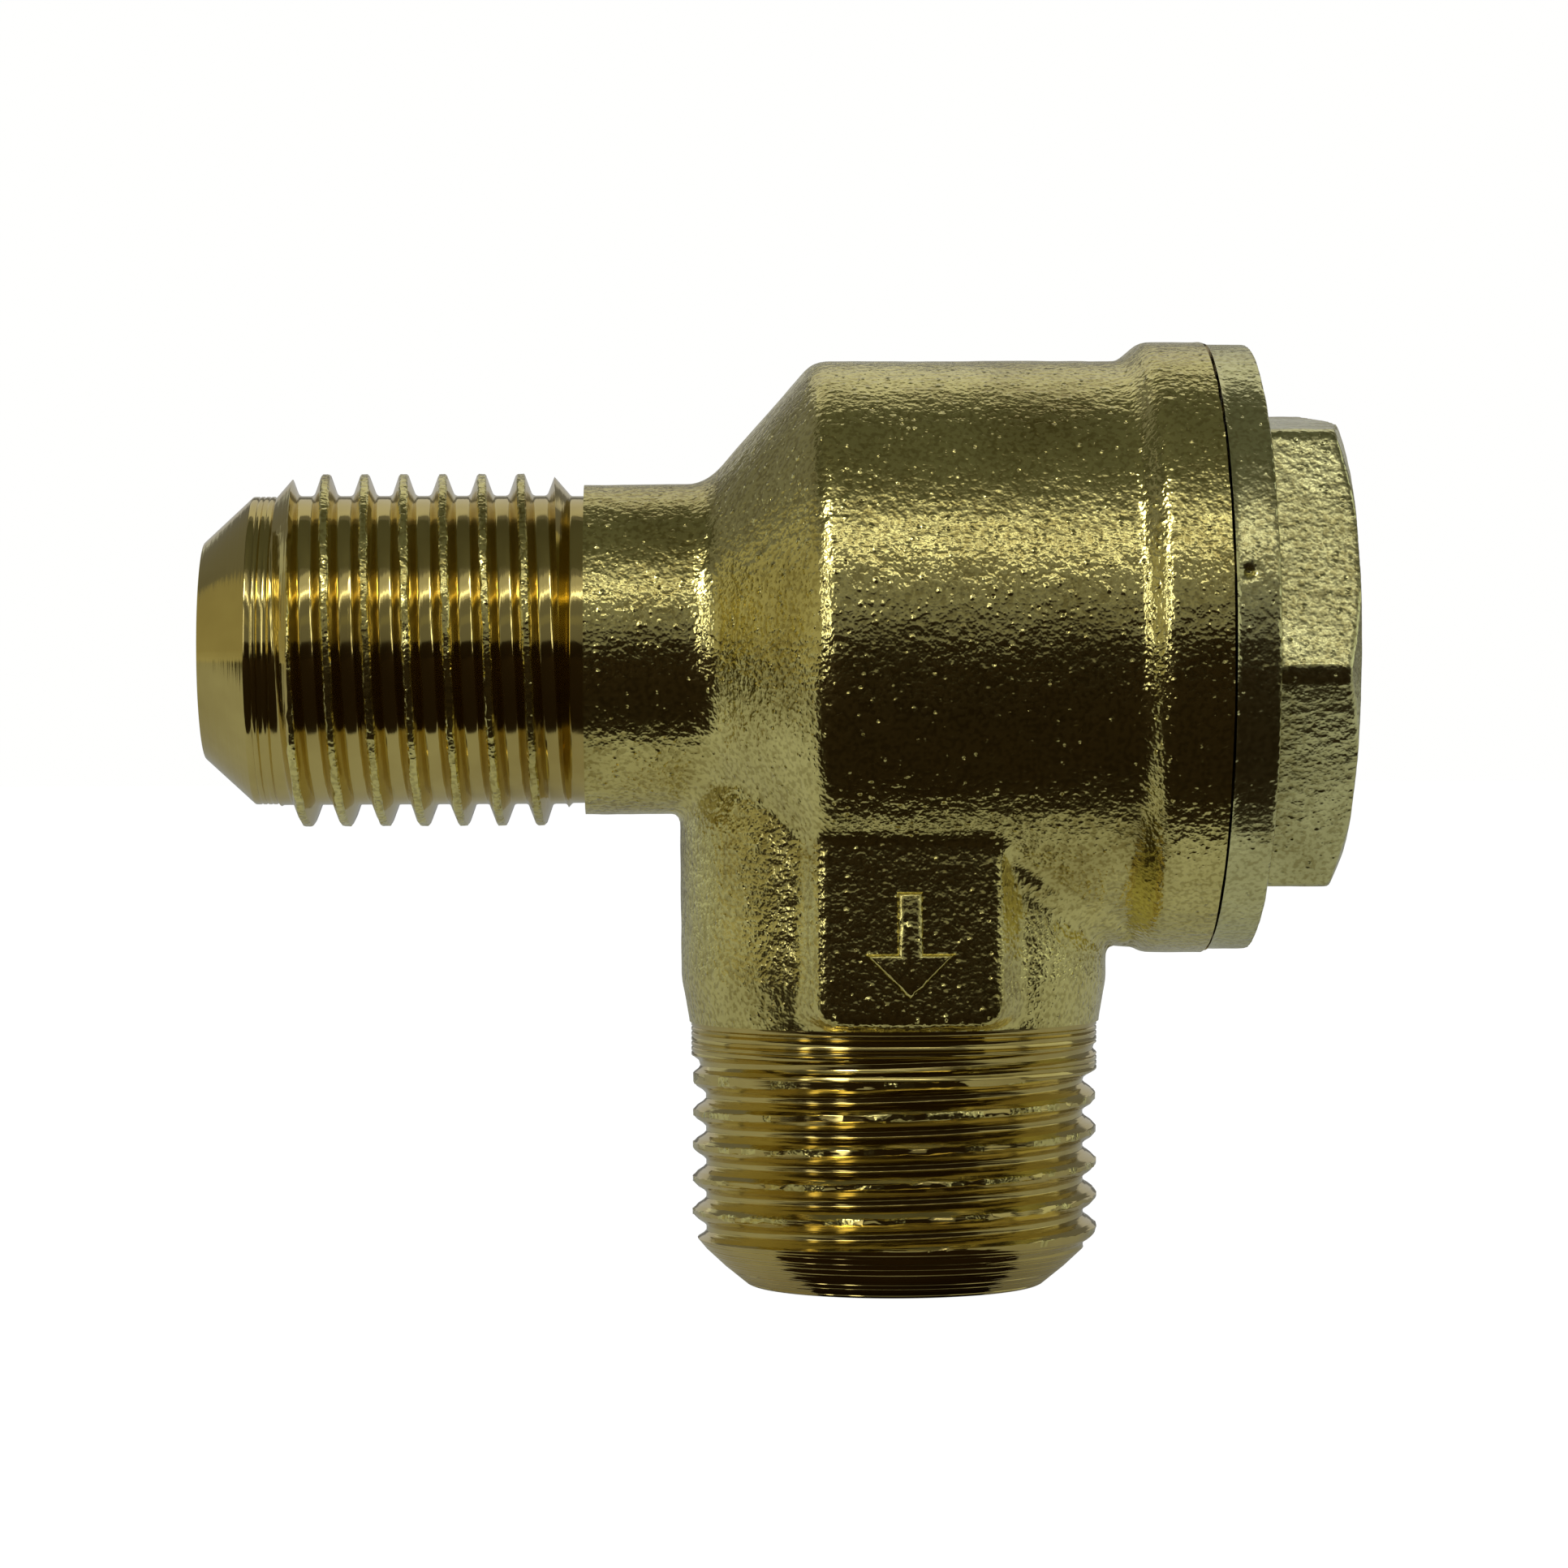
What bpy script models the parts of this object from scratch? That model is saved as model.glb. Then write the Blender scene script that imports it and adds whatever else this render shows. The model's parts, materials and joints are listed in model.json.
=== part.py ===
"""Elbow bypass valve: a forged brass body with two male threads, a hex cap, and the sprung poppet inside.

Sizes are in millimetres. The drawing frame has its origin where the barrel's axis crosses the outlet's axis:
X runs along the barrel from the inlet to the cap, and Z runs up, away from the outlet.
"""

import math

import bmesh
import bpy
from mathutils import Matrix

MM = 0.001
TURN_STEPS = 40
INNER_STEPS = 24
THREAD_STEPS = 18
ROUND_SEGMENTS = 3
PAD_EDGE_SEGMENTS = 2
SEAL_SIDES = 10
ARC_SHARE = 0.45
MERGE_DISTANCE = 1e-7

# Clearances and the overshoot of cutters
FIT_GAP = 0.3
SEAM_GAP = 0.25
OVERSHOOT = 1.0
ROOT_CLEARANCE = 0.07

# Inlet nipple
INLET_REACH = 27.7
INLET_BORE_RADIUS = 3.2
NOSE_WALL = 1.16
NOSE_LENGTH = 2.0
LAND_LENGTH = 0.95
INLET_THREAD_RADIUS = 7.11
INLET_THREAD_DEPTH = 0.84
INLET_THREAD_PITCH = 1.5875
INLET_THREAD_LENGTH = 11.6
INLET_ROOT_FLAT = 0.6
INLET_CREST_FLAT = 0.24
INLET_LEAD_IN = 0.8
INLET_LEAD_OUT = 0.8
INLET_START_GAP = 0.2
RELIEF_LENGTH = 0.72
NECK_STEP = 0.45

# Barrel
CONE_REACH = 7.52
CONE_LENGTH = 4.34
CONE_FILLET = 1.6
SHOULDER_ROUND = 2.0
BARREL_RADIUS = 11.6
BARREL_WALL = 3.3
MOUTH_REACH = 12.36
MOUTH_WALL = 2.35
MOUTH_THREAD_DEPTH = 5.25
FLANGE_LENGTH = 3.0
FLANGE_STEP = 0.76
FLANGE_ROUND = 0.7

# Outlet stem
OUTLET_REACH = 25.67
OUTLET_BORE_RADIUS = 5.0
OUTLET_RIM = 1.0
OUTLET_CHAMFER_LENGTH = 2.07
OUTLET_CHAMFER_ROUND = 2.4
OUTLET_THREAD_RADIUS = 8.2
OUTLET_THREAD_DEPTH = 0.6
OUTLET_THREAD_PITCH = 1.337
OUTLET_THREAD_LENGTH = 10.57
OUTLET_ROOT_FLAT = 0.2
OUTLET_CREST_FLAT = 0.34
OUTLET_RUNOUT_TURNS = 2.0
OUTLET_START_GAP = 1.08
STEM_STEP = 0.4
STEM_TAPER_LENGTH = 1.6
STEM_ROOT_DEPTH = 2.0

# Marking pads, one on each side of the stem
PAD_WIDTH = 7.0
PAD_OFFSET = 0.2
PAD_PROUD = 0.2
PAD_END_GAP = 0.35
PAD_CORNER_ROUND = 0.8
PAD_EDGE_ROUND = 0.25
PAD_DRAFT_DEPTH = 2.8
PAD_DRAFT_WIDTH = 1.7

# Valve seat and poppet
SEAT_REACH = 2.2
SEAT_LIP_WIDTH = 1.0
SEAT_LIP_HEIGHT = 0.8
FACING_OVERLAP = 1.0
FACING_THICKNESS = 1.5
FACING_PROUD = 0.7
RIM_WALL = 0.9
PLATE_THICKNESS = 1.8
BOSS_HEIGHT = 1.0
STEM_PIN_RADIUS = 2.4
STEM_PIN_LENGTH = 8.3
PIN_END_ROUND = 0.4
RIM_ROUND = 0.3
EDGE_ROUND = 0.2
LIFT = 3.4

# Return spring
WIRE_RADIUS = 0.4
SPRING_CLEARANCE = 0.5
SPRING_TURNS = 6.5
SPRING_POINTS_PER_TURN = 12

# Hex cap
CAP_FLANGE_INSET = 0.13
CAP_FLANGE_LENGTH = 1.64
CAP_FLANGE_ROUND = 0.3
HEX_ACROSS_FLATS = 18.0
HEX_LENGTH = 3.5
HEX_CHAMFER_DEG = 26.0
HEX_TURN_DEG = 7.4
SPIGOT_LENGTH = 6.6
SPIGOT_NECK_STEP = 0.5
GUIDE_WALL = 0.9
POCKET_END_REACH = 13.0

# Cap seal
SEAL_SECTION_RADIUS = 0.6

# Positions along the barrel's axis
INLET_END = -INLET_REACH
LAND_START = INLET_END + NOSE_LENGTH
THREAD_START = LAND_START + LAND_LENGTH
RELIEF_START = THREAD_START + INLET_THREAD_LENGTH
NECK_START = RELIEF_START + RELIEF_LENGTH
CONE_START = -CONE_REACH
CONE_END = CONE_START + CONE_LENGTH
MOUTH_END = MOUTH_REACH
FLANGE_START = MOUTH_END - FLANGE_LENGTH
SEAT_FACE = -SEAT_REACH
CHAMBER_FLOOR = SEAT_FACE - SEAT_LIP_HEIGHT
CAP_FACE = MOUTH_END + SEAM_GAP
HEX_START = CAP_FACE + CAP_FLANGE_LENGTH
CAP_END = HEX_START + HEX_LENGTH
SPIGOT_END = CAP_FACE - SPIGOT_LENGTH
SEAL_SEAT = CAP_FACE - 2 * SEAL_SECTION_RADIUS - 2 * FIT_GAP
MOUTH_SHOULDER = SEAL_SEAT - MOUTH_THREAD_DEPTH

# Positions along the outlet's axis
OUTLET_END = -OUTLET_REACH
OUTLET_THREAD_TOP = OUTLET_END + OUTLET_THREAD_LENGTH

# Radii that follow from the values above
NOSE_RADIUS = INLET_BORE_RADIUS + NOSE_WALL
INLET_ROOT_RADIUS = INLET_THREAD_RADIUS - INLET_THREAD_DEPTH
LAND_RADIUS = INLET_ROOT_RADIUS - ROOT_CLEARANCE
NECK_RADIUS = INLET_THREAD_RADIUS - NECK_STEP
FLANGE_RADIUS = BARREL_RADIUS + FLANGE_STEP
CHAMBER_RADIUS = BARREL_RADIUS - BARREL_WALL
MOUTH_RADIUS = BARREL_RADIUS - MOUTH_WALL
SPIGOT_RADIUS = MOUTH_RADIUS - FIT_GAP
SPIGOT_NECK_RADIUS = SPIGOT_RADIUS - SPIGOT_NECK_STEP
SEAL_RADIUS = SPIGOT_NECK_RADIUS + FIT_GAP + SEAL_SECTION_RADIUS
SEAL_BORE_RADIUS = SEAL_RADIUS + SEAL_SECTION_RADIUS + FIT_GAP
CAP_FLANGE_RADIUS = FLANGE_RADIUS - CAP_FLANGE_INSET
STEM_RADIUS = OUTLET_THREAD_RADIUS + STEM_STEP
OUTLET_END_RADIUS = OUTLET_BORE_RADIUS + OUTLET_RIM
SEAT_LIP_RADIUS = INLET_BORE_RADIUS + SEAT_LIP_WIDTH
FACING_RADIUS = SEAT_LIP_RADIUS + FACING_OVERLAP
RECESS_RADIUS = FACING_RADIUS + FIT_GAP
RIM_RADIUS = RECESS_RADIUS + RIM_WALL
GUIDE_BORE_RADIUS = STEM_PIN_RADIUS + FIT_GAP
GUIDE_RADIUS = GUIDE_BORE_RADIUS + GUIDE_WALL
SPRING_RADIUS = GUIDE_RADIUS + SPRING_CLEARANCE + WIRE_RADIUS
POCKET_RADIUS = SPRING_RADIUS + WIRE_RADIUS + SPRING_CLEARANCE
BOSS_RADIUS = GUIDE_RADIUS

# Positions of the poppet at rest on its seat
FACING_FRONT = SEAT_FACE + FIT_GAP
FACING_BACK = FACING_FRONT + FACING_THICKNESS
RIM_FRONT = FACING_FRONT + FACING_PROUD
RECESS_FLOOR = FACING_BACK + FIT_GAP
PLATE_BACK = RECESS_FLOOR + PLATE_THICKNESS
BOSS_END = PLATE_BACK + BOSS_HEIGHT
STEM_PIN_END = BOSS_END + STEM_PIN_LENGTH
GUIDE_END = BOSS_END + LIFT + FIT_GAP
GUIDE_BORE_END = STEM_PIN_END + LIFT + FIT_GAP

# The part stands on its outlet end, with its origin under the middle of its length
CENTRE_X = (INLET_REACH - CAP_END) / 2
AXIS_HEIGHT = OUTLET_REACH

FORGED_BRASS = ("forged_brass", (0.60, 0.53, 0.25), 0.38, 1.0)
TURNED_BRASS = ("turned_brass", (0.66, 0.54, 0.24), 0.25, 1.0)
SPRING_STEEL = ("spring_steel", (0.55, 0.55, 0.56), 0.30, 1.0)
NITRILE_RUBBER = ("nitrile_rubber", (0.03, 0.03, 0.035), 0.75, 0.0)
FACING_RUBBER = ("facing_rubber", (0.05, 0.04, 0.035), 0.80, 0.0)


def clear_scene():
    """Remove every object of the startup scene."""
    for obj in list(bpy.data.objects):
        bpy.data.objects.remove(obj, do_unlink=True)


def new_collection(name):
    """A collection linked to the scene."""
    collection = bpy.data.collections.new(name)
    bpy.context.scene.collection.children.link(collection)
    return collection


def new_material(name, colour, roughness, metallic):
    """A Principled material."""
    material = bpy.data.materials.new(name)
    material.use_nodes = True
    shader = material.node_tree.nodes["Principled BSDF"]
    shader.inputs["Base Color"].default_value = (*colour, 1.0)
    shader.inputs["Roughness"].default_value = roughness
    shader.inputs["Metallic"].default_value = metallic
    return material


def rounded(corners):
    """Points of a turned outline: each corner is (radius, height, rounding), and a rounding becomes an arc."""
    points = []
    for i, (radius, height, rounding) in enumerate(corners):
        if not rounding or i in (0, len(corners) - 1):
            points.append((radius, height))
            continue
        before = corners[i - 1]
        after = corners[i + 1]
        back = (before[0] - radius, before[1] - height)
        ahead = (after[0] - radius, after[1] - height)
        back_length = math.hypot(*back)
        ahead_length = math.hypot(*ahead)
        back = (back[0] / back_length, back[1] / back_length)
        ahead = (ahead[0] / ahead_length, ahead[1] / ahead_length)
        half = math.acos(back[0] * ahead[0] + back[1] * ahead[1]) / 2
        setback = min(rounding / math.tan(half), ARC_SHARE * back_length, ARC_SHARE * ahead_length)
        arc_radius = setback * math.tan(half)
        middle = (back[0] + ahead[0], back[1] + ahead[1])
        middle_length = math.hypot(*middle)
        reach = arc_radius / math.sin(half)
        centre = (radius + middle[0] / middle_length * reach, height + middle[1] / middle_length * reach)
        start = math.atan2(height + back[1] * setback - centre[1], radius + back[0] * setback - centre[0])
        end = math.atan2(height + ahead[1] * setback - centre[1], radius + ahead[0] * setback - centre[0])
        sweep = (end - start + math.pi) % (2 * math.pi) - math.pi
        for step in range(ROUND_SEGMENTS + 1):
            angle = start + sweep * step / ROUND_SEGMENTS
            points.append((centre[0] + arc_radius * math.cos(angle), centre[1] + arc_radius * math.sin(angle)))
    return points


def add_object(name, mesh, collection, frame, along_barrel=False):
    """An object under the drawing frame, with its own Z axis along the barrel if asked."""
    obj = bpy.data.objects.new(name, mesh)
    collection.objects.link(obj)
    obj.parent = frame
    if along_barrel:
        obj.rotation_euler = (0, math.pi / 2, 0)
    return obj


def outline_mesh(name, points, closed):
    """A mesh of edges through (radius, height) points in the XZ plane."""
    mesh = bpy.data.meshes.new(name)
    bm = bmesh.new()
    vertices = [bm.verts.new((radius * MM, 0, height * MM)) for radius, height in points]
    for first, second in zip(vertices, vertices[1:]):
        bm.edges.new((first, second))
    if closed:
        bm.edges.new((vertices[-1], vertices[0]))
    bm.to_mesh(mesh)
    bm.free()
    return mesh


def add_screw(obj, steps, turns=1.0, pitch=0.0):
    """Turn an outline about the object's Z axis, rising by a pitch in millimetres for each turn."""
    screw = obj.modifiers.new("turn", "SCREW")
    screw.axis = "Z"
    screw.angle = 2 * math.pi * turns
    screw.screw_offset = pitch * turns * MM
    screw.steps = steps
    screw.render_steps = steps
    screw.use_merge_vertices = pitch == 0
    screw.merge_threshold = MERGE_DISTANCE
    screw.use_smooth_shade = True
    return screw


def turned(name, corners, collection, frame, along_barrel=False, steps=TURN_STEPS):
    """A turned solid whose outline runs from its top end down to its bottom end."""
    obj = add_object(name, outline_mesh(name, rounded(corners), closed=False), collection, frame, along_barrel)
    add_screw(obj, steps)
    return obj


def evaluated_mesh(obj):
    """The mesh of an object with its modifiers carried out."""
    graph = bpy.context.evaluated_depsgraph_get()
    return bpy.data.meshes.new_from_object(obj.evaluated_get(graph))


def thread_groove(name, thread, collection, frame, along_barrel):
    """A closed helical cutter for the groove between a thread's crests."""
    root, crest = thread["root"], thread["crest"]
    root_half = thread["root_flat"] / 2
    mouth_half = (thread["pitch"] - thread["crest_flat"]) / 2
    outline = [
        (root, root_half),
        (crest, mouth_half),
        (crest + OVERSHOOT / 2, mouth_half),
        (crest + OVERSHOOT / 2, -mouth_half),
        (crest, -mouth_half),
        (root, -root_half),
    ]
    start, turns = thread["start"], thread["turns"]
    placed = [(radius, height + start) for radius, height in outline]
    guide = add_object(name + "_guide", outline_mesh(name, placed, closed=True), collection, frame)
    add_screw(guide, round(THREAD_STEPS * turns), turns, thread["pitch"])
    mesh = evaluated_mesh(guide)
    bpy.data.objects.remove(guide, do_unlink=True)
    bm = bmesh.new()
    bm.from_mesh(mesh)
    bmesh.ops.remove_doubles(bm, verts=bm.verts, dist=MERGE_DISTANCE)
    bmesh.ops.holes_fill(bm, edges=bm.edges, sides=len(outline))
    bmesh.ops.recalc_face_normals(bm, faces=bm.faces)
    runout = thread["runout"]
    if runout:
        lift_runout(bm, start + (turns - runout) * thread["pitch"], runout * thread["pitch"], crest - root)
    bm.to_mesh(mesh)
    bm.free()
    return add_object(name, mesh, collection, frame, along_barrel)


def lift_runout(bm, start, length, depth):
    """Draw the groove cutter outwards over its last stretch, as a lathe tool backs out of a thread."""
    for vertex in bm.verts:
        share = min(max((vertex.co.z / MM - start) / length, 0.0), 1.0)
        radius = math.hypot(vertex.co.x, vertex.co.y)
        grown = (radius + share * (depth + OVERSHOOT / 4) * MM) / radius
        vertex.co.x *= grown
        vertex.co.y *= grown


def combine(obj, tool, operation, name):
    """Join or cut an object with a tool by an exact Boolean."""
    boolean = obj.modifiers.new(name, "BOOLEAN")
    boolean.operation = operation
    boolean.solver = "EXACT"
    boolean.object = tool


def make_barrel(collection, frame):
    """The blank of nipple, neck, cone and barrel, from the mouth back to the nose."""
    return turned(
        "valve_body",
        [
            (0, MOUTH_END, 0),
            (FLANGE_RADIUS, MOUTH_END, 0),
            (FLANGE_RADIUS, FLANGE_START, FLANGE_ROUND),
            (BARREL_RADIUS, FLANGE_START, FLANGE_ROUND / 2),
            (BARREL_RADIUS, CONE_END, SHOULDER_ROUND),
            (NECK_RADIUS, CONE_START, CONE_FILLET),
            (NECK_RADIUS, NECK_START, 0),
            (LAND_RADIUS, NECK_START, 0),
            (LAND_RADIUS, RELIEF_START, 0),
            (INLET_THREAD_RADIUS, RELIEF_START - INLET_LEAD_OUT, 0),
            (INLET_THREAD_RADIUS, THREAD_START + INLET_LEAD_IN, 0),
            (LAND_RADIUS, THREAD_START, 0),
            (LAND_RADIUS, LAND_START, 0),
            (NOSE_RADIUS, INLET_END, 0),
            (0, INLET_END, 0),
        ],
        collection,
        frame,
        along_barrel=True,
    )


def make_stem(collection, frame):
    """The blank of the outlet stem, from inside the barrel down to the outlet's end."""
    return turned(
        "stem_blank",
        [
            (0, -STEM_ROOT_DEPTH, 0),
            (STEM_RADIUS, -STEM_ROOT_DEPTH, 0),
            (STEM_RADIUS, OUTLET_THREAD_TOP + STEM_TAPER_LENGTH, 0),
            (OUTLET_THREAD_RADIUS, OUTLET_THREAD_TOP, 0),
            (OUTLET_THREAD_RADIUS, OUTLET_END + OUTLET_CHAMFER_LENGTH, OUTLET_CHAMFER_ROUND),
            (OUTLET_END_RADIUS, OUTLET_END, 0),
            (0, OUTLET_END, 0),
        ],
        collection,
        frame,
    )


def make_pads(collection, frame):
    """A bar through the stem whose two ends are the flat pads at its front and back, with drafted sides."""
    top = -STEM_ROOT_DEPTH
    bottom = OUTLET_THREAD_TOP + PAD_END_GAP
    depth = 2 * (STEM_RADIUS + PAD_PROUD)
    mesh = bpy.data.meshes.new("pad_bar")
    bm = bmesh.new()
    bmesh.ops.create_cube(bm, size=MM)
    bmesh.ops.scale(bm, verts=bm.verts, vec=(PAD_WIDTH, depth, top - bottom))
    lower = [edge for edge in bm.edges if runs_through(edge) and edge.verts[0].co.z < 0]
    round_edges(bm, lower, PAD_CORNER_ROUND, ROUND_SEGMENTS)
    face_edges = [edge for edge in bm.edges if not runs_through(edge)]
    round_edges(bm, face_edges, PAD_EDGE_ROUND, PAD_EDGE_SEGMENTS)
    widen_middle(bm, (depth / 2 - PAD_DRAFT_DEPTH) * MM, PAD_DRAFT_WIDTH * MM)
    bmesh.ops.translate(bm, verts=bm.verts, vec=(PAD_OFFSET * MM, 0, (top + bottom) / 2 * MM))
    bm.to_mesh(mesh)
    bm.free()
    return add_object("pad_bar", mesh, collection, frame)


def runs_through(edge):
    """Whether an edge of the pads' bar runs from its front face to its back face."""
    return edge.verts[0].co.y * edge.verts[1].co.y < 0


def widen_middle(bm, reach, extra):
    """Widen the pads' bar between two planes inside the stem, so that its sides slope from there to its faces."""
    for side in (-1, 1):
        geometry = [*bm.verts, *bm.edges, *bm.faces]
        bmesh.ops.bisect_plane(bm, geom=geometry, plane_co=(0, side * reach, 0), plane_no=(0, 1, 0))
    for vertex in bm.verts:
        if abs(vertex.co.y) < reach + MERGE_DISTANCE:
            vertex.co.x += math.copysign(extra, vertex.co.x)


def round_edges(bm, edges, size, segments):
    """Round a list of edges of a bmesh."""
    bmesh.ops.bevel(
        bm, geom=edges, offset=size * MM, offset_type="OFFSET", affect="EDGES", segments=segments, profile=0.5
    )


def make_passages(collection, frame):
    """The cutter for the inlet bore, the chamber round the raised seat, and the mouth that takes the cap."""
    return turned(
        "passage_cutter",
        [
            (0, MOUTH_END + OVERSHOOT, 0),
            (SEAL_BORE_RADIUS, MOUTH_END + OVERSHOOT, 0),
            (SEAL_BORE_RADIUS, SEAL_SEAT, 0),
            (MOUTH_RADIUS, SEAL_SEAT, 0),
            (MOUTH_RADIUS, MOUTH_SHOULDER, 0),
            (CHAMBER_RADIUS, MOUTH_SHOULDER, 0),
            (CHAMBER_RADIUS, CHAMBER_FLOOR, 0),
            (SEAT_LIP_RADIUS, CHAMBER_FLOOR, 0),
            (SEAT_LIP_RADIUS, SEAT_FACE, 0),
            (INLET_BORE_RADIUS, SEAT_FACE, 0),
            (INLET_BORE_RADIUS, INLET_END - OVERSHOOT, 0),
            (0, INLET_END - OVERSHOOT, 0),
        ],
        collection,
        frame,
        along_barrel=True,
    )


def make_outlet_bore(collection, frame):
    """The cutter for the outlet's bore, up into the chamber and clear of the seat's lip."""
    top = -(SEAT_LIP_RADIUS + SEAT_LIP_HEIGHT)
    return turned(
        "outlet_cutter",
        [
            (0, top, 0),
            (OUTLET_BORE_RADIUS, top, 0),
            (OUTLET_BORE_RADIUS, OUTLET_END - OVERSHOOT, 0),
            (0, OUTLET_END - OVERSHOOT, 0),
        ],
        collection,
        frame,
    )


def inlet_thread():
    """The inlet thread's groove, which starts past the lead-in and ends in the relief."""
    mouth_half = (INLET_THREAD_PITCH - INLET_CREST_FLAT) / 2
    start = LAND_START - INLET_START_GAP
    end = NECK_START - mouth_half - ROOT_CLEARANCE / 2
    return {
        "root": INLET_ROOT_RADIUS,
        "crest": INLET_THREAD_RADIUS,
        "pitch": INLET_THREAD_PITCH,
        "root_flat": INLET_ROOT_FLAT,
        "crest_flat": INLET_CREST_FLAT,
        "start": start,
        "turns": (end - start) / INLET_THREAD_PITCH,
        "runout": 0,
    }


def outlet_thread():
    """The outlet thread's groove, from below the end face up to its run-out under the stem."""
    start = OUTLET_END - OUTLET_START_GAP
    end = OUTLET_THREAD_TOP - OUTLET_THREAD_PITCH / 4
    return {
        "root": OUTLET_THREAD_RADIUS - OUTLET_THREAD_DEPTH,
        "crest": OUTLET_THREAD_RADIUS,
        "pitch": OUTLET_THREAD_PITCH,
        "root_flat": OUTLET_ROOT_FLAT,
        "crest_flat": OUTLET_CREST_FLAT,
        "start": start,
        "turns": (end - start) / OUTLET_THREAD_PITCH,
        "runout": OUTLET_RUNOUT_TURNS,
    }


def make_body(parts, cutters, frame):
    """The forged and machined body, one solid."""
    body = make_barrel(parts, frame)
    combine(body, make_stem(cutters, frame), "UNION", "stem")
    combine(body, make_pads(cutters, frame), "UNION", "pads")
    combine(body, make_passages(cutters, frame), "DIFFERENCE", "passages")
    combine(body, make_outlet_bore(cutters, frame), "DIFFERENCE", "outlet bore")
    inlet_groove = thread_groove("inlet_groove", inlet_thread(), cutters, frame, along_barrel=True)
    combine(body, inlet_groove, "DIFFERENCE", "inlet thread")
    outlet_groove = thread_groove("outlet_groove", outlet_thread(), cutters, frame, along_barrel=False)
    combine(body, outlet_groove, "DIFFERENCE", "outlet thread")
    return body


def make_hex_head(collection, frame):
    """The hexagon of the cap, with its corners chamfered by a cone."""
    bottom = HEX_START - CAP_FLANGE_LENGTH / 3
    corner = HEX_ACROSS_FLATS / math.sqrt(3)
    mesh = bpy.data.meshes.new("hex_head")
    bm = bmesh.new()
    bmesh.ops.create_cone(
        bm, cap_ends=True, segments=6, radius1=corner * MM, radius2=corner * MM, depth=(CAP_END - bottom) * MM
    )
    bmesh.ops.translate(bm, verts=bm.verts, vec=(0, 0, (CAP_END + bottom) / 2 * MM))
    turn = Matrix.Rotation(math.radians(HEX_TURN_DEG), 3, "Z")
    bmesh.ops.rotate(bm, verts=bm.verts, cent=(0, 0, 0), matrix=turn)
    bm.to_mesh(mesh)
    bm.free()
    head = add_object("hex_head", mesh, collection, frame, along_barrel=True)
    slope = math.tan(math.radians(HEX_CHAMFER_DEG))
    flat = HEX_ACROSS_FLATS / 2
    wide = corner + OVERSHOOT
    chamfer = turned(
        "hex_chamfer",
        [
            (0, CAP_END + OVERSHOOT * slope, 0),
            (flat - OVERSHOOT, CAP_END + OVERSHOOT * slope, 0),
            (wide, CAP_END - (wide - flat) * slope, 0),
            (wide, bottom - OVERSHOOT, 0),
            (0, bottom - OVERSHOOT, 0),
        ],
        collection,
        frame,
        along_barrel=True,
    )
    combine(head, chamfer, "INTERSECT", "chamfer")
    return head


def make_cap(parts, cutters, frame):
    """The hex cap: flange, threaded spigot with the seal's neck, and the poppet's guide inside the spring pocket."""
    cap = turned(
        "hex_cap",
        [
            (0, HEX_START, 0),
            (CAP_FLANGE_RADIUS, HEX_START, CAP_FLANGE_ROUND),
            (CAP_FLANGE_RADIUS, CAP_FACE, 0),
            (SPIGOT_NECK_RADIUS, CAP_FACE, 0),
            (SPIGOT_NECK_RADIUS, SEAL_SEAT, 0),
            (SPIGOT_RADIUS, SEAL_SEAT, 0),
            (SPIGOT_RADIUS, SPIGOT_END, 0),
            (0, SPIGOT_END, 0),
        ],
        parts,
        frame,
        along_barrel=True,
    )
    combine(cap, make_hex_head(cutters, frame), "UNION", "hex")
    pocket = turned(
        "pocket_cutter",
        [
            (0, GUIDE_BORE_END, 0),
            (GUIDE_BORE_RADIUS, GUIDE_BORE_END, 0),
            (GUIDE_BORE_RADIUS, GUIDE_END, 0),
            (GUIDE_RADIUS, GUIDE_END, 0),
            (GUIDE_RADIUS, POCKET_END_REACH, 0),
            (POCKET_RADIUS, POCKET_END_REACH, 0),
            (POCKET_RADIUS, SPIGOT_END - OVERSHOOT, 0),
            (0, SPIGOT_END - OVERSHOOT, 0),
        ],
        cutters,
        frame,
        along_barrel=True,
    )
    combine(cap, pocket, "DIFFERENCE", "pocket")
    return cap


def make_seal(parts, frame):
    """The ring seal between the cap's flange and the body's mouth."""
    section = [
        (
            SEAL_RADIUS + SEAL_SECTION_RADIUS * math.cos(angle),
            SEAL_SECTION_RADIUS * math.sin(angle),
        )
        for angle in (-2 * math.pi * step / SEAL_SIDES for step in range(SEAL_SIDES))
    ]
    mesh = outline_mesh("cap_seal", section, closed=True)
    seal = add_object("cap_seal", mesh, parts, frame, along_barrel=True)
    seal.location.x = (SEAL_SEAT + FIT_GAP + SEAL_SECTION_RADIUS) * MM
    add_screw(seal, TURN_STEPS)
    return seal


def make_poppet(parts, frame):
    """The poppet: a cup for the rubber facing, a boss that centres the spring, and the guide pin."""
    return turned(
        "poppet",
        [
            (0, STEM_PIN_END, 0),
            (STEM_PIN_RADIUS, STEM_PIN_END, PIN_END_ROUND),
            (STEM_PIN_RADIUS, BOSS_END, 0),
            (BOSS_RADIUS, BOSS_END, EDGE_ROUND),
            (BOSS_RADIUS, PLATE_BACK, 0),
            (RIM_RADIUS, PLATE_BACK, RIM_ROUND),
            (RIM_RADIUS, RIM_FRONT, EDGE_ROUND),
            (RECESS_RADIUS, RIM_FRONT, 0),
            (RECESS_RADIUS, RECESS_FLOOR, 0),
            (0, RECESS_FLOOR, 0),
        ],
        parts,
        frame,
        along_barrel=True,
        steps=INNER_STEPS,
    )


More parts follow.
